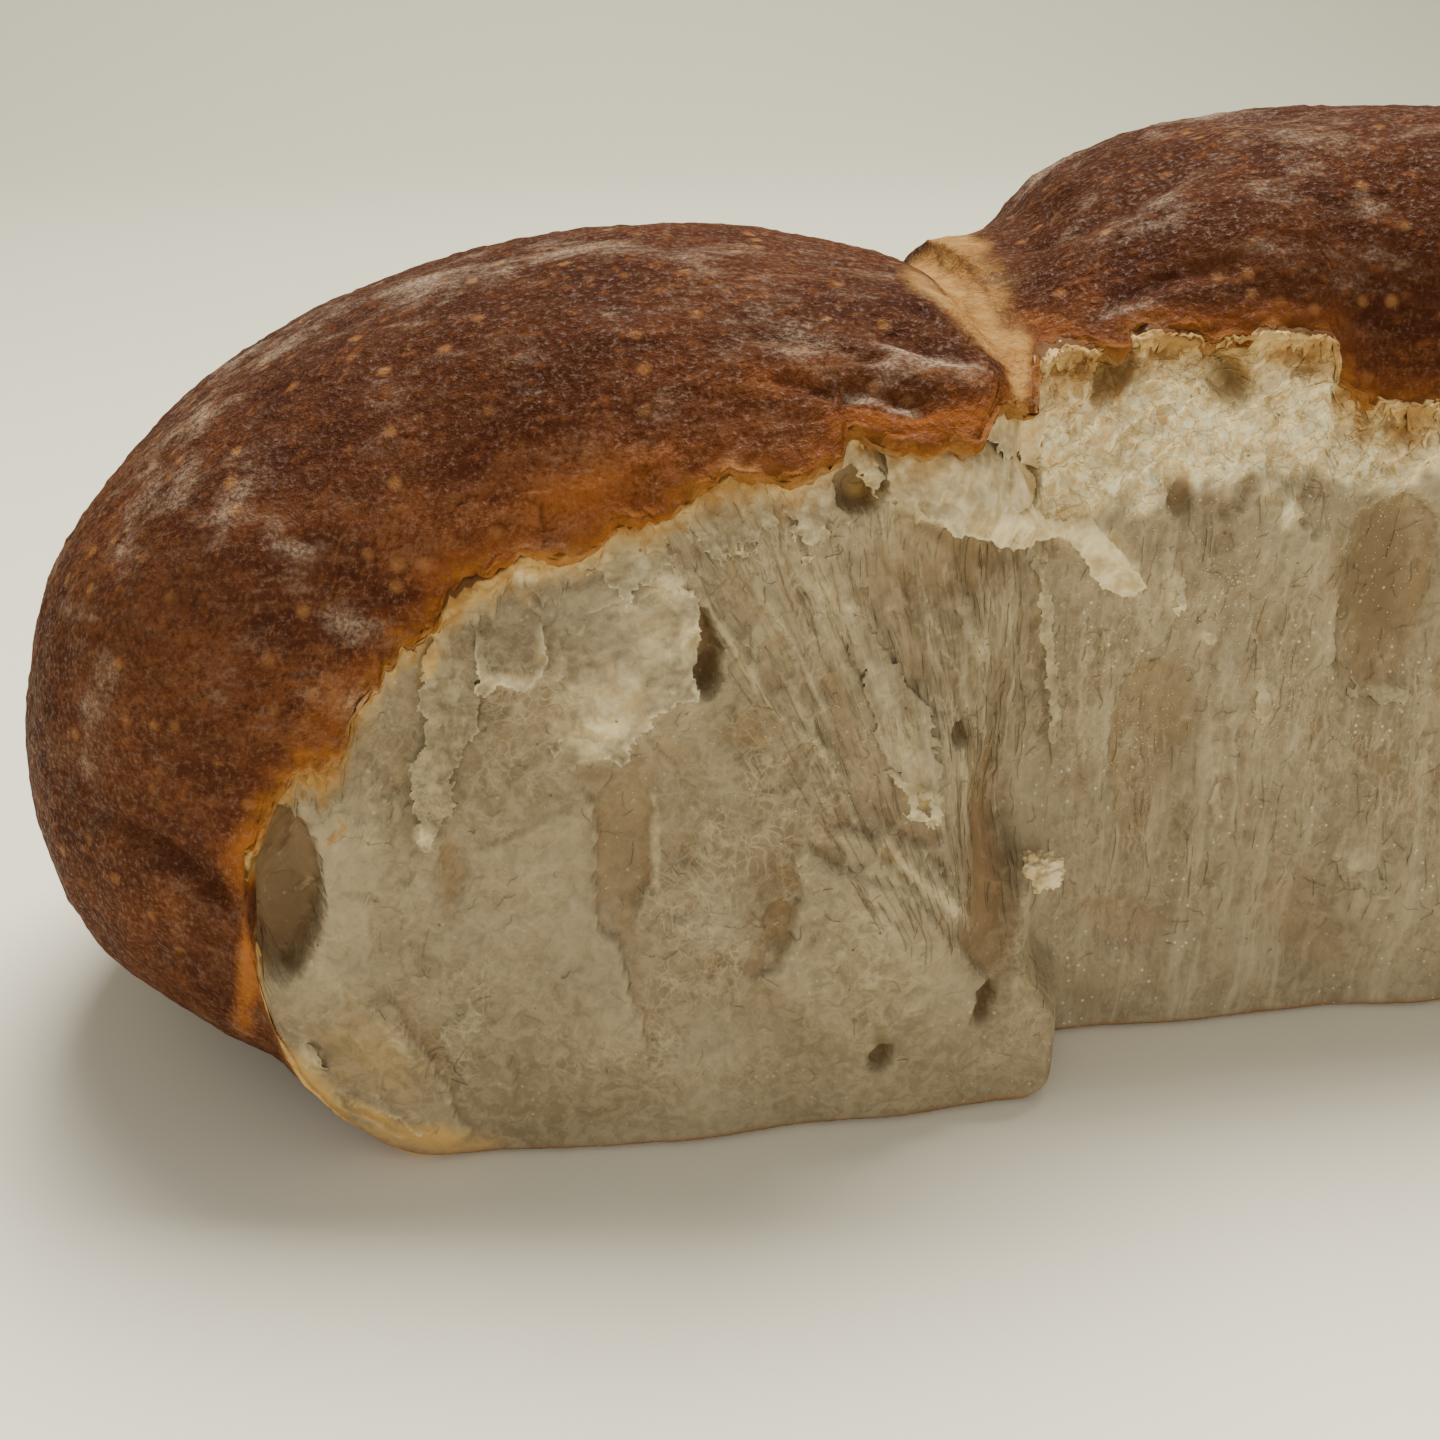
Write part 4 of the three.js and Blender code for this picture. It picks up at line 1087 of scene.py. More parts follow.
def film(heap, outline, held_by, lift, curl, rough=0.4, wave=0.35, folds=0.0, tone=0.5, gold=0.0,
         pale=0.1, reach=6, seed=1.0):
    """A sheet inside an outline, held along one line and standing off further away from it.

    It stands off by lift at the distance reach, curls up by curl at its free edge, which is as ragged as
    rough says, and has waves and folds. tone, gold and pale are how bright its edge and fold lines are
    painted, a painted highlight, how golden its held line and how pale the whole of it are.
    """
    off = 0.6 * lift
    edge = curve_through(on_crumb(outline + outline[:1], off), 4)[:-1]
    low, high = edge.min(0) - 1.2, edge.max(0) + 1.2
    x, z = np.meshgrid(np.arange(low[0], high[0], CELL), np.arange(low[1], high[1], CELL), indexing="ij")
    away, _ = near_line(np.concatenate([edge, edge[:1]]), x, z)
    away = np.where(inside(edge, x, z), np.abs(away), -np.abs(away))
    attach, share = near_line(curve_through(on_crumb(held_by, off)), x, z)
    hang = np.abs(attach)
    frayed = octaves(x / 1.7, z / 1.7, seed, 4, 0.7) - 0.7 * ridges(x / 0.9, z / 0.9, seed + 5, 2) ** 2
    away = away + rough * frayed * ramp(hang, 0.3, 1.5)
    grad_x, grad_z = np.gradient(away, CELL)
    slope = np.maximum(grad_x ** 2 + grad_z ** 2, 0.25)
    snap = np.where(away < 0, clamp(-away / slope, 0, CELL), 0)
    x, z = x + snap * grad_x, z + snap * grad_z
    level = surface_y(x, z)
    shifts = [surface_y(x + 0.6 * math.cos(a), z + 0.6 * math.sin(a)) for a in np.radians(range(0, 360, 90))]
    level = box_blur(np.minimum.reduce([level] + shifts), 4)
    stand = (lift + FILM_HELD) * smooth(hang / reach) - FILM_HELD
    stand = stand + curl * np.exp(-np.maximum(away, 0) / 0.9) * ramp(hang, 1.0, 4)
    stand = stand + wave * octaves(x / 3.5, z / 3.5, seed + 3, 4, 0.6) * ramp(hang, 0.5, 3)
    fold = octaves(share * 11, hang / 12, seed + 7, 4, 0.65)
    stand = stand + folds * fold * ramp(hang, 0.3, 1.5)
    front = np.stack([x, level - stand, z], -1).reshape(-1, 3)
    thick = FILM_THICK * (0.5 + 0.5 * ramp(away, 0, 0.5))
    back = front + np.stack([np.zeros(x.size), thick.ravel(), np.zeros(x.size)], -1)
    quads = grid_faces(*x.shape).reshape(-1, 4)
    quads = quads[(away.ravel()[quads] > 0).sum(1) >= 2]
    used = np.unique(quads)
    place = np.zeros(x.size, int)
    place[used] = np.arange(len(used))
    quads = place[quads]
    # a painted highlight along the free edge and on the folds
    lip = np.maximum(np.exp(-np.maximum(away, 0) / 0.45), folds * ramp(fold, 0.1, 0.7))
    lip = tone * lip * ramp(hang, 0.8, 3)
    golden = gold * (1 - ramp(hang, 1, 5))
    lip, golden = (np.tile(v.ravel()[used], 2) for v in (lip, golden))
    both = np.concatenate([front[used], back[used]])
    heap.add(both, closed_sheet(quads, len(used)), lip, pale, golden)


FILMS = [
    # big flap beside the slit
    dict(lift=1.3, curl=0.8, rough=0.5, wave=0.5, tone=1.0, reach=8, seed=2.0, outline=(
        (540, 640), (560, 606), (600, 590), (640, 572), (674, 573), (687, 588), (700, 604), (694, 628),
        (691, 643), (689, 663), (697, 687), (690, 699), (676, 692), (669, 707), (656, 716), (639, 734),
        (628, 745), (623, 757), (606, 750), (588, 745), (570, 745), (556, 760), (544, 742), (540, 700)),
         held_by=((532, 730), (532, 660), (548, 602), (600, 580), (668, 562))),
    # scrap under the big flap
    dict(lift=0.8, curl=0.3, rough=0.6, tone=0.8, pale=0.5, reach=2, seed=3.0, outline=(
        (560, 756), (574, 758), (575, 774), (566, 776), (560, 768)), held_by=((556, 754), (578, 754))),
    # ring flap
    dict(lift=1.3, curl=1.2, rough=0.35, wave=0.3, tone=1.0, reach=5, seed=5.0, outline=(
        (484, 602), (500, 586), (520, 590), (536, 606), (545, 632), (545, 655), (536, 676), (520, 684),
        (506, 680), (496, 676), (487, 693), (475, 690), (474, 650)),
         held_by=((474, 610), (500, 580), (540, 594))),
    # hanging strip with a yellow patch
    dict(lift=0.9, curl=0.3, rough=0.6, wave=0.4, folds=0.2, tone=0.5, pale=0.3, reach=7, seed=8.0, outline=(
        (450, 606), (480, 606), (484, 660), (478, 720), (468, 745), (456, 775), (450, 810), (440, 826),
        (430, 844), (420, 846), (416, 828), (410, 800), (411, 760), (424, 716), (414, 690), (424, 656)),
         held_by=((446, 600), (486, 600))),
    dict(lift=1.5, curl=0.1, rough=0.1, wave=0.1, tone=0.2, gold=1.0, reach=9, seed=9.0, outline=(
        (437, 650), (441, 660), (432, 676), (423, 680), (421, 668), (428, 656)),
         held_by=((436, 646), (420, 690))),
    # pulled strip with a frayed end
    dict(lift=0.6, curl=0.1, rough=0.6, wave=0.2, folds=0.3, tone=0.2, pale=0.1, reach=9, seed=11.0, outline=(
        (806, 574), (832, 585), (853, 597), (880, 640), (910, 680), (932, 720), (940, 760), (936, 790),
        (928, 806), (920, 796), (912, 806), (902, 786), (890, 776), (878, 752), (866, 700), (846, 650),
        (824, 606)), held_by=((800, 570), (820, 562), (850, 584))),
    dict(lift=1.5, curl=0.8, rough=0.9, wave=0.6, tone=1.0, pale=0.75, reach=3, seed=12.0, outline=(
        (884, 772), (900, 776), (924, 780), (938, 796), (934, 824), (926, 816), (922, 800), (914, 812),
        (906, 806), (898, 790), (888, 784)), held_by=((880, 766), (910, 766), (940, 776))),
    # membrane under the crust tip, partly its own yellow-cream colour, partly made pale as painted light
    # against the crust's shade
    dict(lift=2.4, curl=0.1, rough=0.2, wave=0.6, folds=0.5, tone=0.4, gold=0.3, pale=0.65, reach=3,
         seed=14.0, outline=(
        (882, 448), (904, 438), (934, 431), (966, 430), (994, 436), (1014, 450), (1026, 466),
        (1027, 489), (1010, 508), (967, 514), (930, 508), (895, 500), (880, 476)),
         held_by=((872, 436), (905, 424), (945, 418), (1000, 428), (1036, 448))),
    # scrap between the crust's tip and the right roll
    dict(lift=1.2, curl=0.4, rough=0.6, wave=0.4, tone=0.6, gold=0.25, pale=0.6, reach=3, seed=16.0, outline=(
        (976, 416), (1006, 404), (1030, 398), (1042, 420), (1036, 448), (1024, 460), (1010, 456),
        (992, 446)), held_by=((966, 412), (1004, 396), (1040, 386))),
    # bright ribbon and its torn end, partly its own cream colour, partly made pale as painted light against
    # the shade under the crust
    dict(lift=3.2, curl=0.6, rough=0.3, wave=0.5, folds=0.9, tone=1.0, pale=0.85, reach=2.6,
         seed=17.0, outline=(
        (878, 488), (904, 493), (938, 494), (962, 496), (986, 497), (1006, 491), (1022, 494), (1036, 506),
        (1050, 516), (1062, 515), (1076, 511), (1090, 516), (1098, 528), (1110, 540), (1120, 556),
        (1132, 566), (1137, 577), (1127, 583), (1118, 588), (1107, 586), (1092, 577), (1083, 568),
        (1076, 556), (1066, 542), (1052, 531), (1042, 530), (1030, 533), (1018, 539), (994, 539),
        (978, 534), (960, 528), (944, 524), (926, 512), (908, 502)),
         held_by=((868, 476), (930, 476), (986, 478), (1020, 476), (1044, 488), (1080, 494), (1104, 504))),
    # grey shred left of the membrane
    dict(lift=1.2, curl=0.5, rough=0.9, tone=0.9, pale=0.5, reach=4, seed=20.0, outline=(
        (846, 466), (852, 448), (872, 440), (884, 452), (884, 472), (874, 480), (860, 476)),
         held_by=((840, 454), (860, 438), (890, 444))),
    # shreds under the rim
    dict(lift=0.9, curl=0.5, rough=0.9, tone=0.7, pale=0.45, reach=5, seed=23.0, outline=(
        (786, 486), (812, 474), (836, 474), (838, 500), (842, 520), (830, 526), (816, 540), (808, 556),
        (796, 540), (786, 514)), held_by=((780, 478), (812, 464), (842, 466))),
    dict(lift=0.9, curl=0.5, rough=0.9, tone=0.7, pale=0.5, gold=0.1, reach=5, seed=26.0, outline=(
        (580, 556), (600, 546), (664, 520), (672, 560), (662, 578), (640, 590), (622, 598), (604, 590),
        (590, 572)), held_by=((576, 552), (620, 530), (668, 512))),
    dict(lift=0.9, curl=0.5, rough=0.9, tone=0.6, pale=0.4, reach=5, seed=27.0, outline=(
        (684, 516), (730, 500), (770, 486), (784, 500), (770, 530), (746, 540), (726, 560), (708, 552),
        (690, 540)), held_by=((680, 508), (730, 492), (784, 480))),
    # strips that hang from the ribbon
    dict(lift=1.2, curl=0.2, rough=0.5, tone=0.5, pale=0.35, reach=6, seed=29.0, outline=(
        (1030, 534), (1046, 534), (1050, 580), (1052, 640), (1058, 700), (1050, 742), (1044, 700),
        (1038, 640), (1034, 585)), held_by=((1024, 530), (1052, 528))),
    dict(lift=1.2, curl=0.3, rough=0.6, tone=0.6, pale=0.4, reach=4, seed=32.0, outline=(
        (950, 590), (966, 596), (978, 624), (986, 655), (974, 650), (960, 620)),
         held_by=((944, 590), (968, 586))),
    # small shreds on the right roll
    dict(lift=1.1, curl=0.5, rough=0.6, tone=0.9, pale=0.6, reach=3, seed=35.0, outline=(
        (1160, 568), (1172, 558), (1184, 570), (1178, 596), (1172, 620), (1167, 600)),
         held_by=((1154, 564), (1172, 550), (1188, 564))),
    dict(lift=0.9, curl=0.3, rough=0.4, tone=1.0, pale=0.9, reach=2, seed=41.0, outline=(
        (1198, 630), (1216, 633), (1213, 643), (1203, 642)), held_by=((1196, 625), (1218, 627))),
    dict(lift=1.0, curl=0.5, rough=0.6, tone=0.7, pale=0.5, reach=4, seed=44.0, outline=(
        (1252, 672), (1272, 678), (1268, 712), (1260, 730), (1252, 712)),
         held_by=((1246, 668), (1276, 670))),
    dict(lift=0.8, curl=0.3, rough=0.5, wave=0.3, tone=0.4, pale=0.2, reach=6, seed=47.0, outline=(
        (1330, 850), (1376, 846), (1382, 878), (1390, 894), (1370, 890), (1346, 884)),
         held_by=((1322, 846), (1384, 838))),
    dict(lift=0.8, curl=0.3, rough=0.7, tone=0.4, pale=0.45, reach=5, seed=50.0, outline=(
        (1350, 676), (1398, 674), (1416, 690), (1404, 706), (1360, 702)),
         held_by=((1344, 668), (1416, 668))),
    # golden folds of the thin crust at the lower left corner
    dict(lift=0.9, curl=0.5, rough=0.4, wave=0.3, tone=0.7, pale=0.25, reach=3, seed=53.0, outline=(
        (297, 1050), (310, 1048), (324, 1060), (329, 1072), (318, 1076), (302, 1070)),
         held_by=((290, 1050), (300, 1080), (326, 1090))),
    dict(lift=1.4, curl=0.6, rough=0.35, wave=0.4, tone=0.8, pale=0.35, gold=0.1, reach=4, seed=54.0,
         outline=((342, 1086), (372, 1092), (404, 1104), (440, 1120), (432, 1128), (416, 1129), (402, 1122),
                  (384, 1110), (368, 1105), (350, 1102), (342, 1096)),
         held_by=((340, 1080), (372, 1082), (404, 1092), (450, 1112))),
    # far part, which the photograph doesn't show: more of the same
    dict(lift=1.4, curl=0.8, rough=0.6, wave=0.5, tone=0.9, pale=0.4, seed=56.0, outline=(
        (1640, 560), (1700, 570), (1712, 640), (1680, 690), (1650, 670), (1640, 610)),
         held_by=((1630, 556), (1706, 556))),
    dict(lift=1.2, curl=0.5, rough=0.7, wave=0.4, tone=0.7, pale=0.3, seed=59.0, outline=(
        (1500, 640), (1528, 644), (1530, 720), (1522, 800), (1508, 770), (1500, 700)),
         held_by=((1494, 634), (1534, 636))),
]


def fringe(heap):
    """The ragged cream skin that hangs from the crust's broken rim over the crumb."""
    x = np.linspace(TORN_ENDS[0] + 1.5, TORN_ENDS[1] - 1.5, FRINGE_COLUMNS)
    rim = broken_rim(x)
    reach = 1.0 + 2.2 * octaves(x / 6, 1.7, 9.3, 3) + 1.5 * octaves(x / 1.1, 6.7, 2.3, 3, 0.75)
    reach = clamp(reach, 0.1, 5) * ramp(rim - widest_level(x), 2, 9)
    down = np.linspace(0, 1, FRINGE_ROWS)[None, :]
    z = rim[:, None] - 0.3 - down * reach[:, None]
    grid_x = np.broadcast_to(x[:, None], z.shape)
    level = surface_y(grid_x, z)
    level = np.minimum(level, box_blur(level, 2))
    stand = mix(-0.4, 0.2, smooth(down * 3)) + 0.3 * octaves(grid_x / 1.5, z / 1.5, 3.9, 3)
    front = np.stack([grid_x, level - stand, z], -1).reshape(-1, 3)
    back = front + (0, FRINGE_THICK, 0)
    quads = grid_faces(FRINGE_COLUMNS, FRINGE_ROWS).reshape(-1, 4)
    # a faint painted highlight at the fringe's free lower edge
    lip = 0.2 * np.exp(-(1 - down) * reach[:, None] / 0.3) * ramp(octaves(grid_x / 3, 4.4, 1.1, 3), -0.2, 0.4)
    gold = 0.95 * (1 - down) * ramp(octaves(grid_x / 3, 9.4, 2.1, 4), -0.9, 0.1)
    lip, gold = (np.tile(v.ravel(), 2) for v in (lip, gold))
    heap.add(np.concatenate([front, back]), closed_sheet(quads, len(front)), lip, pale=0.12, gold=gold)


def build_films():
    heap = Heap()
    for one in FILMS:
        film(heap, **one)
    fringe(heap)
    return heap.piece("films")


# Strands: thin threads that lie on the crumb or bridge its hollows.
STRAND_STEPS = 9
STRAND_CORNERS = np.radians((90, 210, 330))


def threads(heap, x, z, radius, stand, pale):
    """Threads from paths, one to a row of x and z, with a radius for each."""
    count, steps = x.shape
    along = np.linspace(0, 1, steps)[None, :]
    y = surface_y(x, z) - stand[:, None] * np.sin(math.pi * along) + 0.15 * np.cos(2 * math.pi * along)
    path = np.dstack([x, y, z])
    ahead = unit(np.gradient(path, axis=1))
    side = unit(np.cross(ahead, (0.0, -1.0, 0.0)))
    up = np.cross(side, ahead)
    thick = (radius[:, None] * np.sin(math.pi * clamp(along, 0.02, 0.98)) ** 0.5)[..., None]
    points = np.stack([path + (side * math.cos(a) + up * math.sin(a)) * thick for a in STRAND_CORNERS], 2)
    per_thread = steps * len(STRAND_CORNERS)
    one = grid_faces(steps, len(STRAND_CORNERS), wrap=True).reshape(-1, 4)
    faces = (one[None] + (np.arange(count) * per_thread)[:, None, None]).reshape(-1, 4)
    pale = np.repeat(pale, per_thread)
    heap.add(points.reshape(-1, 3), faces, 0.9 * pale, pale)


def build_strands():
    draw = np.random.default_rng(7)
    heap = Heap()
    steps = np.linspace(0, 1, STRAND_STEPS)[None, :]

    def rows(count, low, high):
        return draw.uniform(low, high, count)[:, None]

    def tangled(count, low, high, short, long, left, right, bottom, top):
        """Paths in directions from low to high, with lengths from short to long, in a box."""
        turn = rows(count, low, high)
        length = rows(count, short, long)
        x = rows(count, left, right) + length * np.cos(turn) * steps + wavy(count, 2, 0.6)
        z = rows(count, bottom, top) + length * np.sin(turn) * steps + wavy(count, 2, 0.6)
        return x, z

    def wavy(count, pace, amount):
        return amount * octaves(steps * pace, rows(count, 0, 90), rows(count, 0, 9), 2)

    def lay(x, z, thick, stand, pale):
        """Makes threads of the paths that stay below the rim, each up to this thick, high and pale."""
        below = (z < broken_rim(x) - 0.8).all(1)
        x, z = x[below], z[below]
        count = len(x)
        threads(heap, x, z, draw.uniform(0.5 * thick, thick, count), draw.uniform(0.0, stand, count),
                draw.uniform(0.3 * pale, pale, count))

    # along the pull of the left roll's crumb
    count = 380
    top = rows(count, 20, 57)
    z = top - np.minimum(rows(count, 2, 7), top - 12) * steps
    s = rows(count, -38, 1) + rows(count, -1, 1) * steps + wavy(count, 2, 0.35)
    lay(pulled_x(s, z), z, 0.06, 0.2, 0.4)
    # upright on the right roll
    count = 240
    top = rows(count, 14, 52)
    z = top - np.minimum(rows(count, 1.5, 6), top - 4) * steps
    lay(rows(count, 0, 68) + rows(count, -0.7, 0.7) * steps + wavy(count, 2, 0.25), z, 0.055, 0.12, 0.4)
    # everywhere, in all directions
    lay(*tangled(600, 0, 2 * math.pi, 1.0, 3.2, -58, 68, 6, 56), 0.04, 0.1, 0.3)
    # fluff under the right roll's rim
    x, z = tangled(1700, -0.3, 1.2, 0.8, 3.0, -4, 68, 46, 64)
    fluffy = makeup(x, z)[2].min(1) > 0.5
    lay(x[fluffy], z[fluffy], 0.06, 0.5, 0.8)
    return heap.piece("strands")


# Specks of the crumb: grains, and one small lump.
OCTAHEDRON = np.array([(1, 0, 0), (0, 1, 0), (-1, 0, 0), (0, -1, 0), (0, 0, 1), (0, 0, -1)], float)
OCTAHEDRON_FACES = np.array([(0, 1, 4), (1, 2, 4), (2, 3, 4), (3, 0, 4), (1, 0, 5), (2, 1, 5), (3, 2, 5),
                             (0, 3, 5)])
# Where tiny glistening grains lie: middle and half-sizes in x and z, and how many.
GRAINS = [(-19, 35, 5, 5, 90), (15, 42, 3.2, 3, 170), (9, 29, 4, 6, 260), (30, 44, 4, 9, 110),
          (4, 50, 5, 6, 150), (20, 48, 9, 5, 150), (-30, 28, 14, 12, 60), (50, 38, 14, 14, 160),
          (2, 36, 3, 8, 150), (19, 32, 4, 5, 120), (26, 24, 8, 7, 110)]


def build_grains():
    draw = np.random.default_rng(19)
    heap = Heap()
    for at_x, at_z, rx, rz, count in GRAINS:
        x = at_x + rx * draw.normal(size=count) * 0.7
        z = clamp(at_z + rz * draw.normal(size=count) * 0.7, 2, 58)
        keep = (z < rim_height(x) - 1) & (x > TORN_ENDS[0] + 2) & (x < TORN_ENDS[1] - 2)
        x, z = x[keep], z[keep]
        size = draw.uniform(0.04, 0.10, len(x))
        y = surface_y(x, z) - size * 0.5
        centre = np.stack([x, y, z], -1)
        points = centre[:, None] + OCTAHEDRON[None] * size[:, None, None]
        faces = OCTAHEDRON_FACES[None] + (np.arange(len(x)) * len(OCTAHEDRON))[:, None, None]
        # each grain is painted pale all over, a painted glint
        heap.add(points.reshape(-1, 3), faces.reshape(-1, 3), 1.0, 1.0)
    return heap.piece("grains")


LUMP_SEEN = ((1052, 889),)
LUMP_Y = -37.5
LUMP_HALF = (2.2, 1.7, 1.9)
LUMP_OFF = 1.0
LUMP_AROUND = 72
LUMP_DOWN = 48
LUMP_POLE = 0.02  # radians left open at the ball's poles, each closed by one flat face


def build_lump():
    """The grainy crumb that sticks to the nub between the rolls."""
    (at_x, at_z), = seen(LUMP_SEEN, LUMP_Y)
    turn, rise = np.meshgrid(np.linspace(0, 2 * math.pi, LUMP_AROUND, endpoint=False),
                             np.linspace(LUMP_POLE, math.pi - LUMP_POLE, LUMP_DOWN), indexing="ij")
    x, y, z = np.cos(turn) * np.sin(rise), np.sin(turn) * np.sin(rise), np.cos(rise)
    first, _, _ = cells(x * 2.3 + 9, z * 2.3 + y * 1.7, 31)
    size = 1 + 0.22 * octaves(x * 1.6, y * 1.6, z * 1.6, 4, 0.7) - 0.28 * first
    level = float(surface_y(np.array([at_x]), np.array([at_z]))[0])
    points = np.stack([x, y, z], -1) * size[..., None] * LUMP_HALF + (at_x, level - LUMP_OFF, at_z)
    faces = grid_faces(LUMP_AROUND, LUMP_DOWN).reshape(-1, 4)[:, ::-1].tolist()
    last = (LUMP_AROUND - 1) * LUMP_DOWN
    faces += [[last + k, last + k + 1, k + 1, k] for k in range(LUMP_DOWN - 1)]
    heap = Heap()
    heap.add(points.reshape(-1, 3), faces, 0.4, pale=0.9, gold=0.3)
    top = [LUMP_DOWN * k for k in range(LUMP_AROUND)]
    bottom = [k + LUMP_DOWN - 1 for k in reversed(top)]
    heap.faces += [top, bottom]
    return heap.piece("crumb_lump")


# The pieces, and the node they replace.
crust = build_crust()
crumb = build_crumb()
films = build_films()
strands = build_strands()
grains = build_grains()
lump = build_lump()
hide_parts(NODE)
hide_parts(NODE)


# Materials.
class Shader:
    """A node material, built by short calls. Its colour is laid on in layers."""

    def __init__(self, name):
        self.material = bpy.data.materials.new(name)
        self.material.use_nodes = True
        self.nodes = self.material.node_tree.nodes
        self.links = self.material.node_tree.links
        self.surface = self.nodes["Principled BSDF"]
        self.place = self.nodes.new("ShaderNodeTexCoord").outputs["Object"]
        self.x, self.y, self.z = (self.part(self.place, axis) for axis in "XYZ")
        self.colour = None

    def fill(self, node, inputs, output):
        """Gives a node's inputs another node's output or a constant, and returns one of its outputs."""
        for key, value in inputs.items():
            if isinstance(value, bpy.types.NodeSocket):
                self.links.new(value, node.inputs[key])
            else:
                node.inputs[key].default_value = value
        return node.outputs[output]

    def value(self, name):
        node = self.nodes.new("ShaderNodeAttribute")
        node.attribute_name = name
        return node.outputs["Fac"]

    def part(self, vector, axis):
        return self.fill(self.nodes.new("ShaderNodeSeparateXYZ"), {"Vector": vector}, axis)

    def combine(self, x, z):
        return self.fill(self.nodes.new("ShaderNodeCombineXYZ"), {"X": x, "Z": z}, "Vector")

    def stretch(self, vector, scale):
        return self.fill(self.nodes.new("ShaderNodeMapping"), {"Vector": vector, "Scale": scale}, "Vector")

    def noise(self, vector, scale, detail=4, roughness=0.55, distortion=0.0, output="Fac"):
        return self.fill(self.nodes.new("ShaderNodeTexNoise"), {
            "Vector": vector, "Scale": scale, "Detail": detail, "Roughness": roughness,
            "Distortion": distortion}, output)

    def warp(self, vector, scale, amount):
        """A vector moved about by noise, so that what is drawn with it wanders."""
        moved = self.noise(vector, scale, 2, 0.5, output="Color")
        centred = self.vector_math("SUBTRACT", moved, (0.5, 0.5, 0.5))
        return self.vector_math("ADD", vector, self.vector_math("MULTIPLY", centred, (amount,) * 3))

    def vector_math(self, operation, a, b):
        node = self.nodes.new("ShaderNodeVectorMath")
        node.operation = operation
        return self.fill(node, {0: a, 1: b}, "Vector")

    def math(self, operation, a, b):
        node = self.nodes.new("ShaderNodeMath")
        node.operation = operation
        return self.fill(node, {0: a, 1: b}, "Value")

    def product(self, a, b):
        return self.math("MULTIPLY", a, b)

    def jitter(self, value, noise, amount):
        """A value moved up and down by a noise."""
        return self.math("ADD", value, self.product(self.math("SUBTRACT", noise, 0.5), amount))

    def cells(self, vector, scale, feature):
        node = self.nodes.new("ShaderNodeTexVoronoi")
        node.feature = feature
        self.fill(node, {"Vector": vector, "Scale": scale}, "Distance")
        return node.outputs

    def spots(self, vector, scale):
        """Distance to the nearest of scattered points, in cells, and a draw for each point."""
        found = self.cells(vector, scale, "F1")
        return found["Distance"], self.part(found["Color"], "X")

    def web(self, vector, scale, wall):
        """1 on the thin walls between cells, and a draw for each cell."""
        edge = self.cells(vector, scale, "DISTANCE_TO_EDGE")["Distance"]
        return self.ramp(edge, 0.0, wall, 1.0, 0.0), self.spots(vector, scale)[1]

    def ramp(self, value, low, high, to_low=0.0, to_high=1.0):
        node = self.nodes.new("ShaderNodeMapRange")
        node.interpolation_type = "SMOOTHSTEP"
        return self.fill(node, {"Value": value, "From Min": low, "From Max": high, "To Min": to_low,
                                "To Max": to_high}, "Result")

    def blend(self, factor, a, b):
        """A value between two values."""
        return self.fill(self.nodes.new("ShaderNodeMix"), {"Factor": factor, 2: a, 3: b}, 0)

    def mix(self, factor, a, b):
        """A colour between two colours."""
        node = self.nodes.new("ShaderNodeMix")
        node.data_type = "RGBA"
        return self.fill(node, {"Factor": factor, 6: a, 7: b}, 2)

    def lay(self, factor, colour):
        """Lays a colour over the material's own."""
        self.colour = self.mix(factor, self.colour, colour)

    def tint(self, value, span, colour):
        """Lays on a colour by a ramp of a value: from, to, and the strengths there."""
        self.lay(self.ramp(value, *span), colour)

    def bump(self, height, distance, strength, before=None):
        node = self.nodes.new("ShaderNodeBump")
        inputs = {"Strength": strength, "Distance": distance, "Height": height}
        if before is not None:
            inputs["Normal"] = before
        return self.fill(node, inputs, "Normal")

    def finish(self, **values):
        """Sets the surface's inputs, its colour among them."""
        values["Base_Color"] = self.colour
        self.fill(self.surface, {name.replace("_", " "): value for name, value in values.items()}, "BSDF")

    def wear(self, *pieces):
        for piece in pieces:
            piece.data.materials.clear()
            piece.data.materials.append(self.material)


def srgb(red, green, blue):
    """A linear colour from one written as 0 to 255."""
    def linear(v):
        v = v / 255
        return v / 12.92 if v <= 0.04045 else ((v + 0.055) / 1.055) ** 2.4
    return (linear(red), linear(green), linear(blue), 1.0)


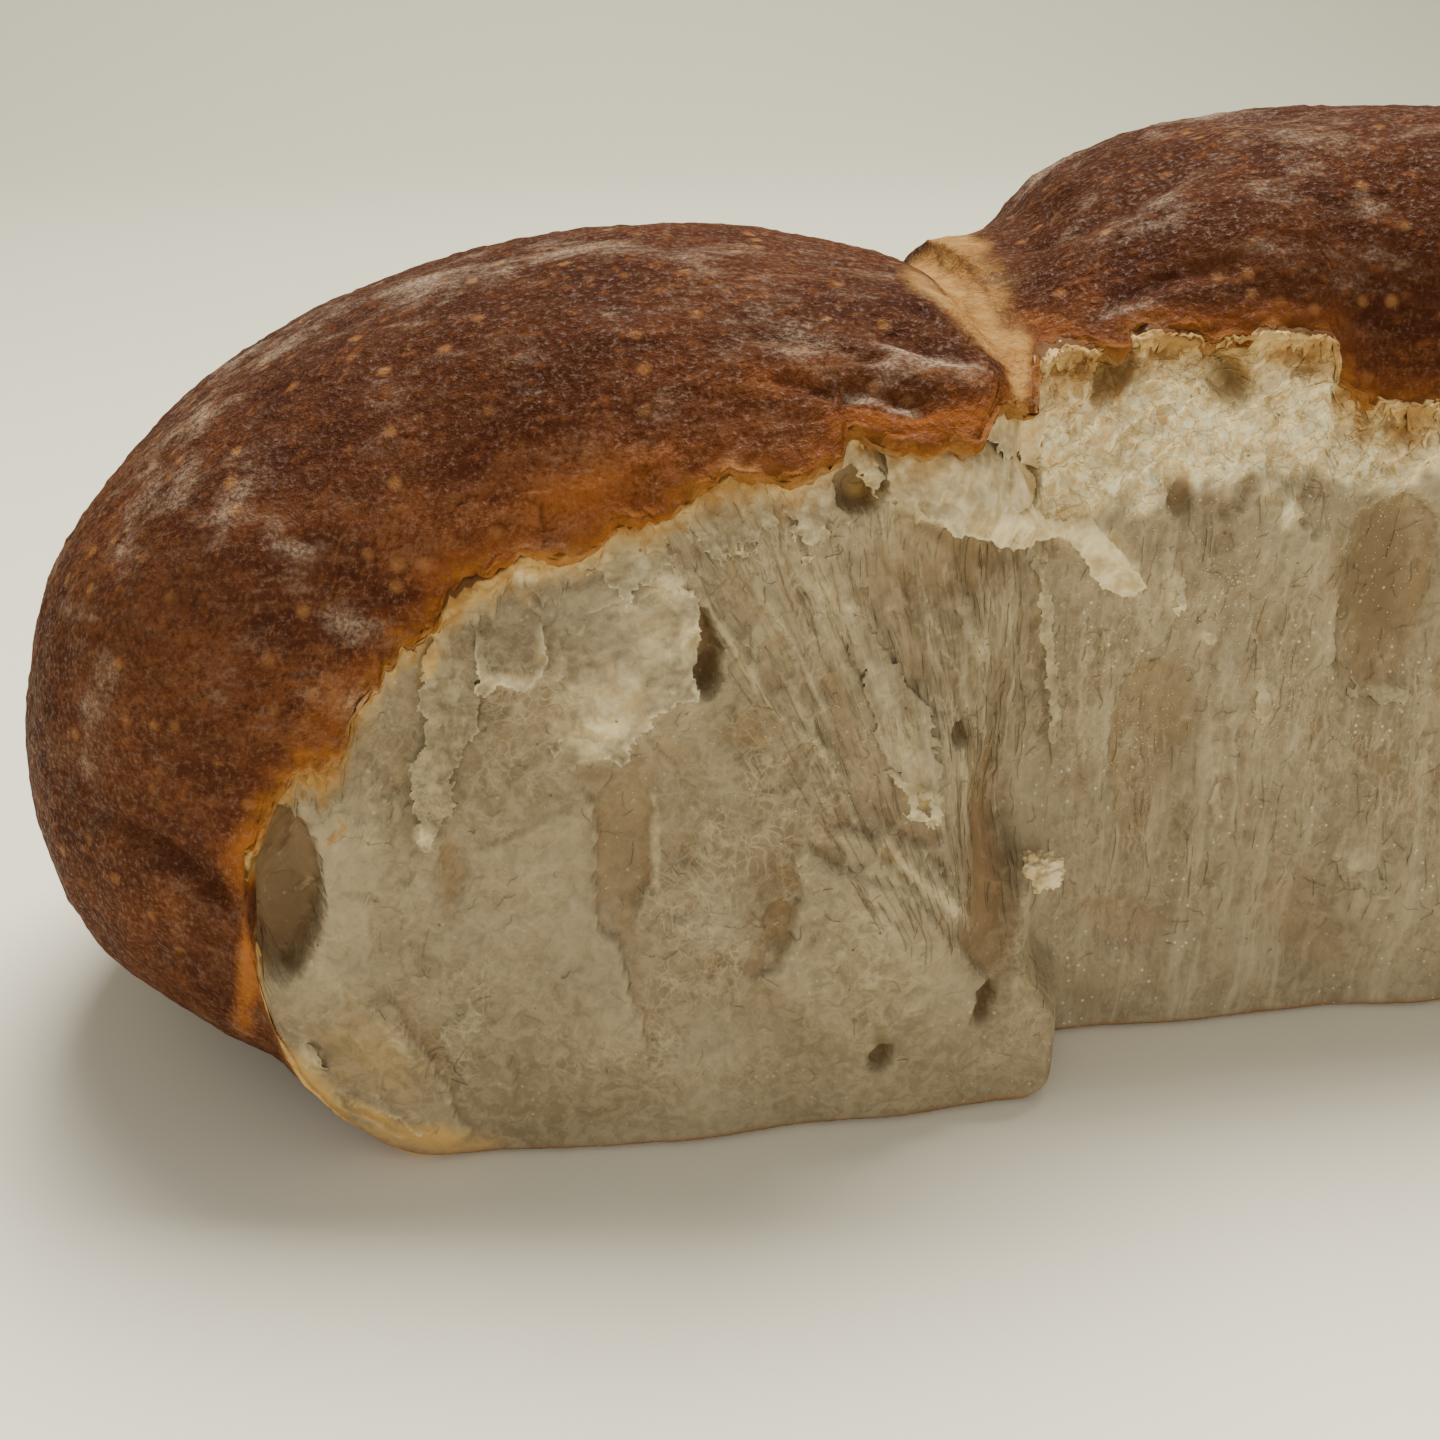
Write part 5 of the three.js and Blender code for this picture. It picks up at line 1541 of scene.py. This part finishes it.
def crust_material():
    m = Shader("baked_crust")
    mottle = m.noise(m.place, 140, 6, 0.68)
    freckles = m.noise(m.place, 460, 4, 0.62)
    brushed = m.noise(m.stretch(m.place, (0.3, 0.8, 1.6)), 520, 4, 0.65)
    grain = m.noise(m.place, 2200, 3, 0.7)
    m.colour = m.mix(m.ramp(mottle, 0.38, 0.62), srgb(98, 53, 30), srgb(154, 93, 54))
    m.tint(m.noise(m.place, 30, 4, 0.55), (0.50, 0.68, 0, 0.5), srgb(146, 86, 44))
    m.tint(m.noise(m.place, 60, 5, 0.65), (0.38, 0.54, 0.7, 0), srgb(66, 31, 23))
    m.tint(freckles, (0.56, 0.68, 0, 0.4), srgb(150, 96, 56))
    m.tint(freckles, (0.28, 0.42, 0.25, 0), srgb(58, 28, 17))
    m.tint(brushed, (0.50, 0.64, 0, 0.45), srgb(158, 108, 72))
    m.tint(brushed, (0.36, 0.48, 0.45, 0), srgb(58, 28, 19))
    m.tint(grain, (0.52, 0.64, 0, 0.55), srgb(160, 110, 74))
    m.tint(grain, (0.36, 0.48, 0.55, 0), srgb(54, 26, 17))
    # darker at the top, partly the deeper bake of the top and partly painted shade that evens out the
    # stronger light from above; darker at the back and at the left end, painted shade
    high = m.ramp(m.z, 0.044, 0.066, 0.0, 0.84)
    m.lay(high, srgb(54, 27, 15))
    m.tint(m.y, (-0.01, 0.02, 0.0, 0.5), srgb(62, 33, 20))
    m.tint(m.x, (-0.072, -0.030, 0.7, 0.0), srgb(62, 36, 26))
    # scattered specks
    specks, drawn = m.spots(m.place, 420)
    specks = m.product(m.ramp(specks, 0.10, 0.34, 1.0, 0.0), m.ramp(drawn, 0.6, 0.8))
    m.lay(m.product(specks, 0.4), srgb(172, 120, 70))
    # amber places
    warm = m.jitter(m.jitter(m.value("warm"), mottle, 0.5), grain, 0.4)
    amber = m.mix(m.ramp(m.x, -0.066, -0.056), srgb(178, 110, 52), srgb(146, 84, 36))
    m.tint(warm, (0.15, 0.8, 0, 0.8), amber)
    # golden towards the broken rim, and pale on the broken edge
    rim = m.value("rim")
    rough_rim = m.noise(m.place, 300, 5, 0.7)
    wide = m.jitter(m.jitter(rim, m.noise(m.place, 130, 5, 0.7), 7.0), rough_rim, 5.0)
    close = m.jitter(m.jitter(rim, rough_rim, 5.0), grain, 2.0)
    torn = m.jitter(m.jitter(rim, rough_rim, 7.0), grain, 3.0)
    edge = m.mix(m.ramp(rough_rim, 0.38, 0.58), srgb(150, 104, 52), srgb(200, 168, 112))
    m.tint(wide, (-0.6, 3.2, 0.7, 0.0), srgb(138, 76, 32))
    m.tint(close, (-0.8, 1.6, 0.85, 0.0), srgb(160, 104, 46))
    m.tint(torn, (-2.0, 0.4, 0.9, 0.0), edge)
    # painted shade: the golden rim is laid darker high up, where the light from above falls strongest
    m.lay(m.product(high, m.ramp(close, 0.5, 4.0, 0.6, 0.0)), srgb(92, 50, 24))
    # golden at the foot: the thin crust's own colour, its palest band made paler still as painted light where
    # the edge faces down, away from the light
    foot = m.jitter(m.value("foot"), m.noise(m.place, 240, 3, 0.6), 3.0)
    m.tint(foot, (0.4, 2.6, 0.6, 0.0), srgb(150, 94, 46))
    m.tint(foot, (-0.3, 1.0, 0.9, 0.0), srgb(230, 190, 118))
    # the pale valley between the rolls
    seam = m.jitter(m.value("seam"), m.noise(m.place, 170, 4, 0.6), 0.7)
    valley = m.mix(m.ramp(rough_rim, 0.38, 0.62), srgb(148, 106, 58), srgb(168, 128, 74))
    m.tint(seam, (0.08, 0.7, 0.0, 0.95), valley)
    # painted shade, dark in folds, creases and wrinkles, and painted highlight, paler on pimples
    relief_shading = m.value("relief_shading")
    m.tint(relief_shading, (0.15, 1.0, 0.0, 0.55), srgb(56, 27, 15))
    m.tint(relief_shading, (-0.5, -0.15, 0.3, 0.0), srgb(138, 84, 44))
    # flour
    streaks = m.noise(m.stretch(m.place, (0.5, 1.0, 1.0)), 380, 5, 0.72)
    dust = m.jitter(m.jitter(m.value("dust"), streaks, 1.8), m.noise(m.place, 110, 4, 0.6), 1.2)
    specked = m.ramp(m.noise(m.place, 3000, 2, 0.6), 0.38, 0.60, 0.3, 1.0)
    m.lay(m.product(m.product(m.ramp(dust, 0.05, 0.95), specked), 0.7), srgb(190, 168, 144))
    normal = m.bump(m.noise(m.place, 260, 4, 0.6), 0.0007, 0.6)
    normal = m.bump(m.noise(m.place, 1100, 4, 0.65), 0.0006, 0.9, normal)
    m.finish(Normal=normal, Roughness=m.ramp(grain, 0.35, 0.65, 0.75, 0.5),
             Specular_IOR_Level=m.ramp(grain, 0.52, 0.70, 0.02, 0.2))
    return m


def crumb_material():
    m = Shader("torn_crumb")
    brown = srgb(110, 91, 63)
    cloud = m.noise(m.place, 75, 4, 0.6)
    felt = m.noise(m.warp(m.place, 500, 0.003), 900, 4, 0.65)
    m.colour = m.mix(m.ramp(cloud, 0.34, 0.66), srgb(126, 112, 86), srgb(147, 133, 107))
    m.tint(felt, (0.42, 0.62, 0.0, 0.3), srgb(182, 164, 131))
    m.tint(felt, (0.34, 0.46, 0.25, 0.0), brown)
    # streaks along the pull
    pulled = m.combine(m.value("fibre"), m.value("up"))
    along = m.value("long")
    streaks = m.noise(m.stretch(pulled, (0.5, 1.0, 0.06)), 1.0, 5, 0.7)
    m.lay(m.product(along, m.ramp(streaks, 0.48, 0.64, 0.0, 0.55)), srgb(188, 172, 140))
    m.lay(m.product(along, m.ramp(streaks, 0.34, 0.46, 0.34, 0.0)), brown)
    # nets of thin walls round darker cells, drawn out along the pull
    patchy = m.ramp(m.noise(m.place, 95, 4, 0.65), 0.44, 0.60, 0.08, 1.0)
    busy = m.math("MAXIMUM", m.product(m.value("busy"), patchy), m.value("netted"))
    bent = m.warp(m.warp(m.place, 160, 0.004), 620, 0.0014)
    pulled_bent = m.warp(m.warp(pulled, 0.3, 1.6), 1.0, 0.7)
    frail = m.ramp(m.noise(m.place, 500, 3, 0.6), 0.34, 0.54, 0.2, 1.0)
    for scale, wall, pull, strength in ((560, 0.10, (0.7, 0.7, 0.13), 0.5),
                                        (1250, 0.12, (1.7, 1.7, 0.3), 0.45)):
        wall_flat, cell_flat = m.web(bent, scale, wall)
        wall_long, cell_long = m.web(m.stretch(pulled_bent, pull), 1.0, wall)
        walls = m.product(m.product(m.blend(along, wall_flat, wall_long), busy), frail)
        inner = m.ramp(m.blend(along, cell_flat, cell_long), 0.35, 0.9, 0.0, 0.6 * strength)
        m.lay(m.product(inner, busy), brown)
        m.lay(m.product(walls, strength), srgb(186, 169, 135))
    # painted shade, darker in hollows, and painted highlight, paler on swells; deep inside holes a warmer,
    # lighter tone, painted light for the glow through their thin walls
    near = m.value("near")
    broad = m.value("broad")
    m.tint(near, (-0.5, -0.05, 0.3, 0.0), srgb(132, 102, 64))
    m.tint(broad, (-1.2, -0.1, 0.3, 0.0), srgb(138, 110, 72))
    m.tint(broad, (0.1, 0.9, 0.0, 0.25), srgb(188, 172, 138))
    m.tint(broad, (-3.4, -1.6, 0.8, 0.0), srgb(142, 114, 80))
    # bright fluff under the right roll's rim: partly the paler fluffy crumb, partly painted light where the
    # band tilts up to the light from above; darker in its hollows, painted shade
    wisps = m.noise(m.warp(m.place, 400, 0.003), 1100, 5, 0.75, 1.2)
    fluff = m.mix(m.ramp(wisps, 0.36, 0.60), srgb(236, 201, 138), srgb(255, 247, 206))
    fluff = m.mix(m.ramp(m.jitter(near, cloud, 1.0), -0.5, 0.0, 0.4, 0.0), fluff, srgb(180, 148, 98))
    m.tint(m.jitter(m.value("lace"), cloud, 1.2), (0.15, 0.9, 0.0, 0.95), fluff)
    # places that are browner, paler and yellower in the photograph, and the lips of edges
    creases = m.noise(m.warp(m.place, 200, 0.003), 420, 4, 0.6)
    cream = m.mix(m.ramp(creases, 0.36, 0.60), srgb(198, 174, 124), srgb(244, 226, 180))
    # the browner places are partly painted shade in holes, slits and under films, the paler ones partly
    # painted light on films and edges, and the lips a painted highlight along raised edges and film rims
    m.tint(m.jitter(m.value("brown"), felt, 0.5), (0.15, 0.9, 0.0, 0.8), brown)
    m.tint(m.jitter(m.jitter(m.value("pale"), felt, 0.6), cloud, 0.3), (0.1, 1.0, 0.0, 0.85), cream)
    m.tint(m.jitter(m.value("gold"), felt, 0.4), (0.1, 1.0, 0.0, 0.85), srgb(204, 164, 94))
    m.tint(m.value("lip"), (0.2, 1.0, 0.0, 0.75), srgb(226, 211, 170))
    # golden under the rim, dark where the crust's dome shows through, the crust's own colour that also serves
    # as painted shade on that upward-facing shelf, and brown at the foot
    ragged = m.noise(m.place, 260, 5, 0.7)
    rim = m.jitter(m.jitter(m.value("rim"), ragged, 7.0), felt, 3.0)
    golden = m.mix(m.ramp(ragged, 0.40, 0.60), srgb(156, 114, 56), srgb(196, 164, 102))
    on_right = m.ramp(m.x, -0.008, 0.0)
    m.lay(m.blend(on_right, m.ramp(rim, 0.4, 3.4, 0.9, 0.0), m.ramp(rim, 1.6, 6.4, 0.92, 0.0)), golden)
    m.tint(rim, (-3.2, -0.8, 0.95, 0.0), srgb(86, 52, 26))
    foot = m.jitter(m.value("foot"), m.noise(m.place, 200, 3, 0.6), 1.6)
    m.tint(foot, (0.1, 1.3, 0.7, 0.0), srgb(146, 106, 62))
    # glistening grains, painted glints, and dark specks
    bright, chosen = m.spots(m.place, 1300)
    sparse = m.ramp(m.noise(m.place, 130, 3, 0.6), 0.44, 0.62)
    sparse = m.product(sparse, m.ramp(m.x, -0.012, 0.004, 0.35, 1.0))
    sparse = m.product(sparse, m.ramp(chosen, 0.4, 0.5))
    grains = m.product(m.ramp(bright, 0.08, 0.26, 1.0, 0.0), sparse)
    m.lay(m.product(grains, 0.6), srgb(236, 225, 196))
    dark, drawn = m.spots(m.place, 430)
    dots = m.product(m.ramp(dark, 0.03, 0.08, 1.0, 0.0), m.ramp(drawn, 0.6, 0.7))
    m.lay(m.product(dots, 0.7), srgb(90, 68, 44))
    normal = m.bump(m.noise(m.place, 420, 4, 0.6), 0.0004, 0.5)
    normal = m.bump(felt, 0.0003, 0.5, normal)
    m.finish(Normal=normal, Roughness=m.ramp(felt, 0.35, 0.65, 0.75, 0.95), Specular_IOR_Level=0.15)
    return m


crust_material().wear(crust)
crumb_material().wear(crumb, films, lump, strands, grains)


# Stage, light and camera.
FLOOR_HALF_WIDTH = 2.4
FLOOR_FRONT = -1.2
FLOOR_BACK = 0.9
FLOOR_RISE = 1.1
FLOOR_BEND = 0.35
BEND_STEPS = 12


def build_stage():
    """A floor, in metres, that sweeps up into a backdrop behind the bread."""
    line = [(FLOOR_FRONT, 0.0)]
    for a in np.linspace(0, math.pi / 2, BEND_STEPS + 1):
        line.append((FLOOR_BACK - FLOOR_BEND * (1 - math.sin(a)), FLOOR_BEND * (1 - math.cos(a))))
    line.append((FLOOR_BACK, FLOOR_RISE))
    points = [(side * FLOOR_HALF_WIDTH, y, z) for y, z in line for side in (-1, 1)]
    faces = [(2 * k, 2 * k + 1, 2 * k + 3, 2 * k + 2) for k in range(len(line) - 1)]
    mesh = bpy.data.meshes.new("floor")
    mesh.from_pydata(points, [], faces)
    mesh.shade_smooth()
    floor = bpy.data.objects.new("floor", mesh)
    bpy.context.scene.collection.objects.link(floor)
    m = Shader("pale_floor")
    # paler at the front and darker up the backdrop: painted light, standing in for the light falling off
    # towards the back
    m.colour = m.mix(m.ramp(m.y, -0.15, 0.35), srgb(248, 242, 223), srgb(200, 198, 180))
    m.finish(Roughness=0.7)
    m.wear(floor)


LIT = Vector((0, 0, 0.03))  # what the lights are turned to, in metres


def area_light(name, place, size, power, colour):
    light = bpy.data.lights.new(name, "AREA")
    light.shape = "RECTANGLE"
    light.size, light.size_y = size
    light.energy = power
    light.color = colour
    holder = bpy.data.objects.new(name, light)
    holder.location = place
    holder.rotation_euler = (LIT - Vector(place)).to_track_quat("-Z", "Y").to_euler()
    bpy.context.scene.collection.objects.link(holder)


def build_camera():
    camera = bpy.data.cameras.new("camera")
    camera.sensor_width = 36
    camera.lens = camera.sensor_width / 2 / math.tan(FIELD / 2)
    camera.clip_start = 0.005
    holder = bpy.data.objects.new("camera", camera)
    holder.location = (EYE + (0, SHIFT_Y, 0)) * MM
    holder.rotation_euler = (math.pi / 2 - EYE_DOWN, 0, -EYE_TURN)
    bpy.context.scene.collection.objects.link(holder)
    bpy.context.scene.camera = holder


def build_light():
    """A soft light from above and behind, a weak one from the front, and a faint sky."""
    area_light("overhead", (0.08, 0.28, 0.72), (0.5, 0.4), 14.2, (1.0, 0.965, 0.87))
    area_light("front_fill", (-0.05, -0.8, 0.26), (0.8, 0.4), 2.5, (1.0, 0.965, 0.89))
    world = bpy.data.worlds.new("world")
    world.use_nodes = True
    sky = world.node_tree.nodes["Background"]
    sky.inputs["Color"].default_value = (1.0, 0.985, 0.90, 1)
    sky.inputs["Strength"].default_value = 0.35
    bpy.context.scene.world = world


build_stage()
build_camera()
build_light()
